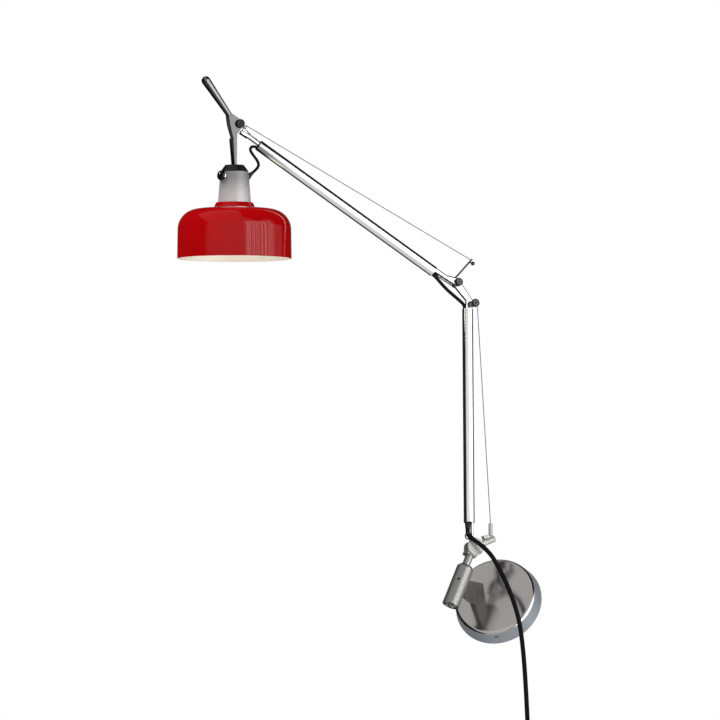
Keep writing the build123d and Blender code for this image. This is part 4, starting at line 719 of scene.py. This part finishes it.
# ---------------------------------------------------------------- shade
shade_axis_foot = HEAD.mm(SHADE_X, 0, 0)
outside = rounded(
    [(20.5, -114.5), (27.0, -114.5), (30.0, -121.5), (82.2, -126.8), (83.1, -195.4)],
    (1.5, 2, 30),
)
inside = rounded(
    [(20.5, -115.7), (25.8, -115.7), (28.8, -122.7), (81.0, -128.0), (81.9, -195.4)],
    (1, 2, 28.8),
)
lip = [Vector((83.0, -195.8)), Vector((82.5, -196.0)), Vector((82.0, -195.8))]
outline = outside + lip + inside[::-1]
tags = [0] * (len(outside) + 1) + [1] * (len(outline) - len(outside) - 1)
shade_shell = turned(
    "shade_shell", shade_axis_foot, HEAD.y, outline, [red_paint, white_paint], tags, 192,
    closed=True,
)
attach(shade_shell, "head")
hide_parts("shade")
shade_shell.visible_glossy = False  # the arms mirror almost nothing of the shade


# ---------------------------------------------------------------- knobs
KNURL_DEPTH = 0.28


def knob_outline(radius, low, high):
    """Half outline of a knurled knob with a dished face."""
    return [
        (0.0, low), (radius - 0.5, low), (radius, low + 0.5), (radius, high - 0.7),
        (radius - 0.35, high - 0.25), (radius - 0.9, high), (radius - 1.7, high - 0.1),
        (radius - 1.9, high - 0.5), (1.5, high - 0.65), (1.3, high - 0.2), (0.8, high),
        (0.0, high),
    ]


def add_knob(name, start, axis, radius, low, high, axle, axle_low, body, node, rim, face, dot):
    """Knob from low to high on the axis, with its axle down to axle_low, and the materials of
    its rim, face and middle."""
    outline = [(0.0, axle_low), (axle, axle_low), (axle, low)]
    outline += knob_outline(radius, low, high)[1:]
    tags = [3] * 2 + [0] * 6 + [1] * 2 + [2] * 3
    piece = turned(
        name, start, axis, outline, [rim, face, dot, steel], tags,
        knurl={4: KNURL_DEPTH, 5: KNURL_DEPTH},
    )
    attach(piece, body)
    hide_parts(node)


add_knob(
    "elbow_grip", UPPER.mm(), hinge_axis, 6.0, 1.1, 6.3, 2.5, -10.5, "upper_arm", "elbow_knob",
    gloss_black, knob_gray, knob_gray,
)
add_knob(
    "pulley_grip", LOWER.mm(PULLEY_X, -4.0), hinge_axis, 6.0, 2.0, 7.2, 1.5, -6.8, "lower_arm",
    "pulley_knob", gloss_black, knob_gray, gloss_black,
)
add_knob(
    "head_grip", HEAD.mm(), tilt_axis, 6.3, 7.0, 12.5, 2.0, -3.3, "head", "head_knob",
    black, black, black,
)
nut_outline = [(2.0, -6.1), (3.6, -6.1), (4.0, -5.7), (4.0, -3.7), (3.6, -3.3), (2.0, -3.3)]
head_nut = turned(
    "head_nut", HEAD.mm(), tilt_axis, nut_outline, [steel], segments=6, closed=True
)
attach(head_nut, "head")

# ---------------------------------------------------------------- head bracket
def plate(place, back, front, low, mid, high):
    """Faces and points of a plate whose front edge slopes from the back to the front outline."""
    rings = [(back, low), (back, mid), (front, high)]
    verts = [place.at(x, y, z) for ring, z in rings for x, y in ring]
    count = len(back)
    faces = [tuple(range(count)), tuple(range(2 * count, 3 * count))]
    for a, b in ((0, count), (count, 2 * count)):
        faces += [(a + i, a + (i + 1) % count, b + (i + 1) % count, b + i) for i in range(count)]
    return verts, faces


def plate_looks(count, edges):
    """Materials of a plate's faces: 0, but for its sides and slopes on the given edges."""
    around = [edges.get(number, 0) for number in range(count)]
    return [0, 0] + around + around


SEAT_RADIUS = 7.3
SEAT_INSET = 0.95
BRACKET_HEIGHTS = (3.3, 4.0, 7.0)
STEM_HEIGHTS = (-3.0, 0.0, 3.3)
seat = [
    (SEAT_RADIUS * cos(radians(turn)), SEAT_RADIUS * sin(radians(turn)))
    for turn in range(-45, 91, 9)
]
bracket_back = [
    (-20.7, 11.7), (-18.9, -2), (-13.2, -21.5), (-9.9, -60), (-3.6, -60), (-3.2, -14.8),
    *seat, (-13.5, 16.75),
]
bracket_front = [
    (-16.4, 10.9), (-14.4, -2), (-9.6, -21.5), (-7.7, -60), (-4.4, -60), (-4.0, -14.4),
    *[(x * SEAT_INSET, y * SEAT_INSET) for x, y in seat], (-12.8, 15.2),
]
stem_back = [(-13.2, -21.5), (-9.9, -60), (-3.6, -60), (-3.3, -19)]
verts, faces = plate(HEAD, bracket_back, bracket_front, *BRACKET_HEIGHTS)
more_verts, more_faces = plate(HEAD, stem_back, stem_back, *STEM_HEIGHTS)
faces += [tuple(corner + len(verts) for corner in face) for face in more_faces]
# the left edges are painted dark and the right edge of the stem painted bright: a painted
# reflection of the dark surround and a painted highlight
count = len(bracket_back)
looks = plate_looks(count, {0: 1, 1: 1, 2: 1, count - 1: 1, 4: 2})
looks += plate_looks(len(stem_back), {0: 1})
bracket = mesh_object(
    "bracket_plate", verts + more_verts, faces, [bracket_metal, dark_metal, chrome], looks, False
)
sharpen(bracket, 20)
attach(bracket, "head")
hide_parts("head_bracket")

# ---------------------------------------------------------------- handle
HANDLE_Z = 5.0
HANDLE_THIN = 4.4
HANDLE_THICK = 6.6
RIBS = 22
RIB_DEPTH = 0.06
PAINTED_DARK_SIDE_FROM = 0.35  # cosine of the angle around the handle where its painted dark side begins, a painted reflection of the dark surround
handle_root = HEAD.mm(-17.2, 14.4, HANDLE_Z)
handle_tip = HEAD.mm(-54.5, 66.3, HANDLE_Z)
handle_way = (handle_tip - handle_root).normalized()
handle_length = (handle_tip - handle_root).length - HANDLE_THICK
handle_outline = [(0.0, -3.0), (HANDLE_THIN - 0.2, -3.0), (HANDLE_THIN, 0.4)]
step = (handle_length - 1.2) / RIBS
for rib in range(RIBS):
    radius = HANDLE_THIN + (HANDLE_THICK - HANDLE_THIN) * (rib + 0.5) / RIBS
    height = 0.8 + step * rib
    handle_outline += [
        (radius - RIB_DEPTH, height), (radius, height + step * 0.3), (radius, height + step * 0.7)
    ]
for turn in range(0, 91, 10):
    handle_outline.append((
        HANDLE_THICK * cos(radians(turn)), handle_length + HANDLE_THICK * sin(radians(turn))
    ))
handle_grip = turned(
    "handle_grip", handle_root, handle_way, handle_outline, [grip_metal, dark_metal], segments=64
)
across_handle = HEAD.z.cross(handle_way)
# one side of the handle takes dark_metal: a painted reflection of the dark surround
for face in handle_grip.data.polygons:
    if face.normal.dot(across_handle) > PAINTED_DARK_SIDE_FROM:
        face.material_index = 1
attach(handle_grip, "head")
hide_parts("handle")

# ---------------------------------------------------------------- switch marker and lead relief
SWITCH_TURN = radians(22.0)
SWITCH_LAYERS = (0.7, 1.4, 0.3, 4.0)  # seat, bezel, gap and knob
switch_way = (HEAD.z * sin(SWITCH_TURN) - HEAD.x * cos(SWITCH_TURN)).normalized()
knob_face = NECK_RADIUS + sum(SWITCH_LAYERS)
marker_at = HEAD.mm(SHADE_X, -76.3, 0) + switch_way * knob_face + HEAD.y * 3.2
marker_outline = [(0.0, -0.5), (1.3, -0.5), (1.3, 0.05), (1.0, 0.12), (0.0, 0.14)]
marker = turned(
    "switch_marker", marker_at, switch_way, marker_outline, [white_paint], segments=32
)
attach(marker, "switch")
relief_outline = [
    (0.0, -1.5), (4.6, -1.5), (4.9, 0.4), (4.6, 1.4), (3.9, 2.4), (3.4, 4.4), (2.8, 7.0),
    (2.5, 8.6), (2.1, 8.8), (0.0, 8.8),
]
relief = turned("lead_sleeve", relief_root, relief_way, relief_outline, [black], segments=48)
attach(relief, "head")
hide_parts("lead_strain_relief")

# ---------------------------------------------------------------- light, world and floor
FLOOR_LEVEL = -3.6
FLOOR_HALF = 14
FLOOR_GLOW = 0.7
floor_look = bpy.data.materials.new("floor")
floor_look.use_nodes = True
nodes = Nodes(floor_look.node_tree)
path = nodes.add("ShaderNodeLightPath")
seen = nodes.math("MAXIMUM", path.outputs["Is Camera Ray"], path.outputs["Is Glossy Ray"])
cloud = nodes.noise(nodes.add("ShaderNodeTexCoord").outputs["Object"], 3.0)
pale = nodes.ramp(cloud, (0.3, (0.88, 0.88, 0.88)), (0.7, (0.92, 0.92, 0.92)))
matt = nodes.add("ShaderNodeBsdfPrincipled", in_Base_Color=pale, in_Roughness=0.8)
glow = nodes.add("ShaderNodeEmission", in_Color=(1, 1, 1, 1), in_Strength=1.0)
share = nodes.math("MULTIPLY", seen, FLOOR_GLOW)
mixed = nodes.add("ShaderNodeMixShader", in_0=share, in_1=matt.outputs[0], in_2=glow.outputs[0])
nodes.link(mixed.outputs[0], nodes.add("ShaderNodeOutputMaterial").inputs[0])
corners = ((-1, -1), (1, -1), (1, 1), (-1, 1))
floor = mesh_object(
    "floor", [(x * FLOOR_HALF, y * FLOOR_HALF, FLOOR_LEVEL) for x, y in corners],
    [(0, 1, 2, 3)], [floor_look],
)
floor.visible_glossy = False  # the shade mirrors the window instead

world = bpy.data.worlds.new("studio")
world.use_nodes = True
bpy.context.scene.world = world
nodes = Nodes(world.node_tree)
path = nodes.add("ShaderNodeLightPath")
way = nodes.add("ShaderNodeTexCoord").outputs["Generated"]


def along(direction):
    """Part of the looked-up direction that lies along a fixed studio direction."""
    node = nodes.add("ShaderNodeVectorMath", operation="DOT_PRODUCT", in_0=way)
    node.inputs[1].default_value = direction
    return node.outputs["Value"]


def span(value, low, high, start, end):
    """Smooth step of a value from one level to another."""
    node = nodes.add(
        "ShaderNodeMapRange", interpolation_type="SMOOTHSTEP", in_Value=value, in_1=low, in_2=high,
        in_3=start, in_4=end,
    )
    return node.outputs[0]


# the studio: a wide bright front, a dark surround that reaches further round on the left and at
# the upper right, and a paler back, with a slatted window on the right. Each dark side has its
# angle around the view in degrees, and the cosines where it begins and is whole. The pairs named
# with an angle are radians from the front, where a step begins and ends.
DARK_SIDES = ((190.0, 0.45, 0.85), (50.0, 0.75, 0.95))
DARK_REACH = 0.95
DARK_LEVEL = 0.02
BACK_LEVEL = 0.35
FRONT_LEVELS = (0.86, 0.62)
FRONT_ANGLES = (0.0, 1.4)
DARK_ANGLES = (1.85, 2.05)
BACK_ANGLES = (2.75, 3.0)
WINDOW_LEFT_ANGLES = (0.36, 0.42)
WINDOW_RIGHT_ANGLES = (1.3, 1.7)
WINDOW_HEIGHTS = (0.45, 0.62)
SLAT_EDGES = (0.42, 0.58)
SLAT_LEVELS = (0.8, 5.0)
SLATS_PER_RADIAN = 13.0
SOFT_LEVEL = 0.72
ahead, aside, above = along(to_camera), along(right), along(up)
turn_back = nodes.math("ARCCOSINE", ahead)
off_axis = nodes.math("SUBTRACT", 1.0, nodes.math("MULTIPLY", ahead, ahead))
ring = nodes.math("SQRT", nodes.math("MAXIMUM", off_axis, 0.001))
dark_share = 0.0
for angle, low, high in DARK_SIDES:
    round_way = nodes.math(
        "ADD", nodes.math("MULTIPLY", aside, cos(radians(angle))),
        nodes.math("MULTIPLY", above, sin(radians(angle))),
    )
    lobe = span(nodes.math("DIVIDE", round_way, ring), low, high, 0.0, 1.0)
    dark_share = nodes.math("MAXIMUM", lobe, dark_share)
edge = nodes.math("ADD", turn_back, nodes.math("MULTIPLY", dark_share, DARK_REACH))
front = span(edge, *DARK_ANGLES, 1.0, DARK_LEVEL)
back = span(turn_back, *BACK_ANGLES, 0.0, BACK_LEVEL)
soft = span(turn_back, *FRONT_ANGLES, *FRONT_LEVELS)
swing_round = nodes.math("ARCTAN2", aside, ahead)
slat_run = nodes.math("MULTIPLY", swing_round, SLATS_PER_RADIAN)
slats = nodes.add(
    "ShaderNodeTexNoise", noise_dimensions="1D", in_W=slat_run, in_Scale=1.0, in_Detail=2.0
).outputs[0]
window = nodes.math(
    "MULTIPLY", span(swing_round, *WINDOW_LEFT_ANGLES, 0.0, 1.0),
    span(swing_round, *WINDOW_RIGHT_ANGLES, 1.0, 0.0),
)
window_height = span(nodes.math("ABSOLUTE", above), *WINDOW_HEIGHTS, 1.0, 0.0)
window = nodes.math("MULTIPLY", window, window_height)
window = nodes.math("MULTIPLY", window, span(slats, *SLAT_EDGES, *SLAT_LEVELS))
level = nodes.math("ADD", nodes.math("MAXIMUM", nodes.math("MULTIPLY", front, soft), back), window)
camera_white = nodes.add("ShaderNodeBackground", in_Color=(1, 1, 1, 1), in_Strength=1.0)
soft_white = nodes.add("ShaderNodeBackground", in_Color=(1, 1, 1, 1), in_Strength=SOFT_LEVEL)
mirror = nodes.add("ShaderNodeBackground", in_Color=(1, 1, 1, 1), in_Strength=level)
lit = nodes.add(
    "ShaderNodeMixShader", in_0=path.outputs["Is Glossy Ray"], in_1=soft_white.outputs[0],
    in_2=mirror.outputs[0],
)
whole = nodes.add(
    "ShaderNodeMixShader", in_0=path.outputs["Is Camera Ray"], in_1=lit.outputs[0],
    in_2=camera_white.outputs[0],
)
nodes.link(whole.outputs[0], nodes.add("ShaderNodeOutputWorld").inputs[0])


LAMP_TARGET = Vector((-0.1, -0.25, 0.3))


def add_lamp(name, place, size, power):
    lamp = bpy.data.objects.new(name, bpy.data.lights.new(name, "AREA"))
    lamp.data.shape = "RECTANGLE"
    lamp.data.size, lamp.data.size_y = size
    lamp.data.energy = power
    lamp.location = place
    lamp.visible_glossy = False
    lamp.rotation_euler = (Vector(place) - LAMP_TARGET).to_track_quat("Z", "Y").to_euler()
    bpy.context.scene.collection.objects.link(lamp)


add_lamp("key", (-1.6, -2.4, 1.9), (1.6, 1.6), 32)
add_lamp("window", (2.2, -2.0, 0.2), (0.8, 1.6), 14)
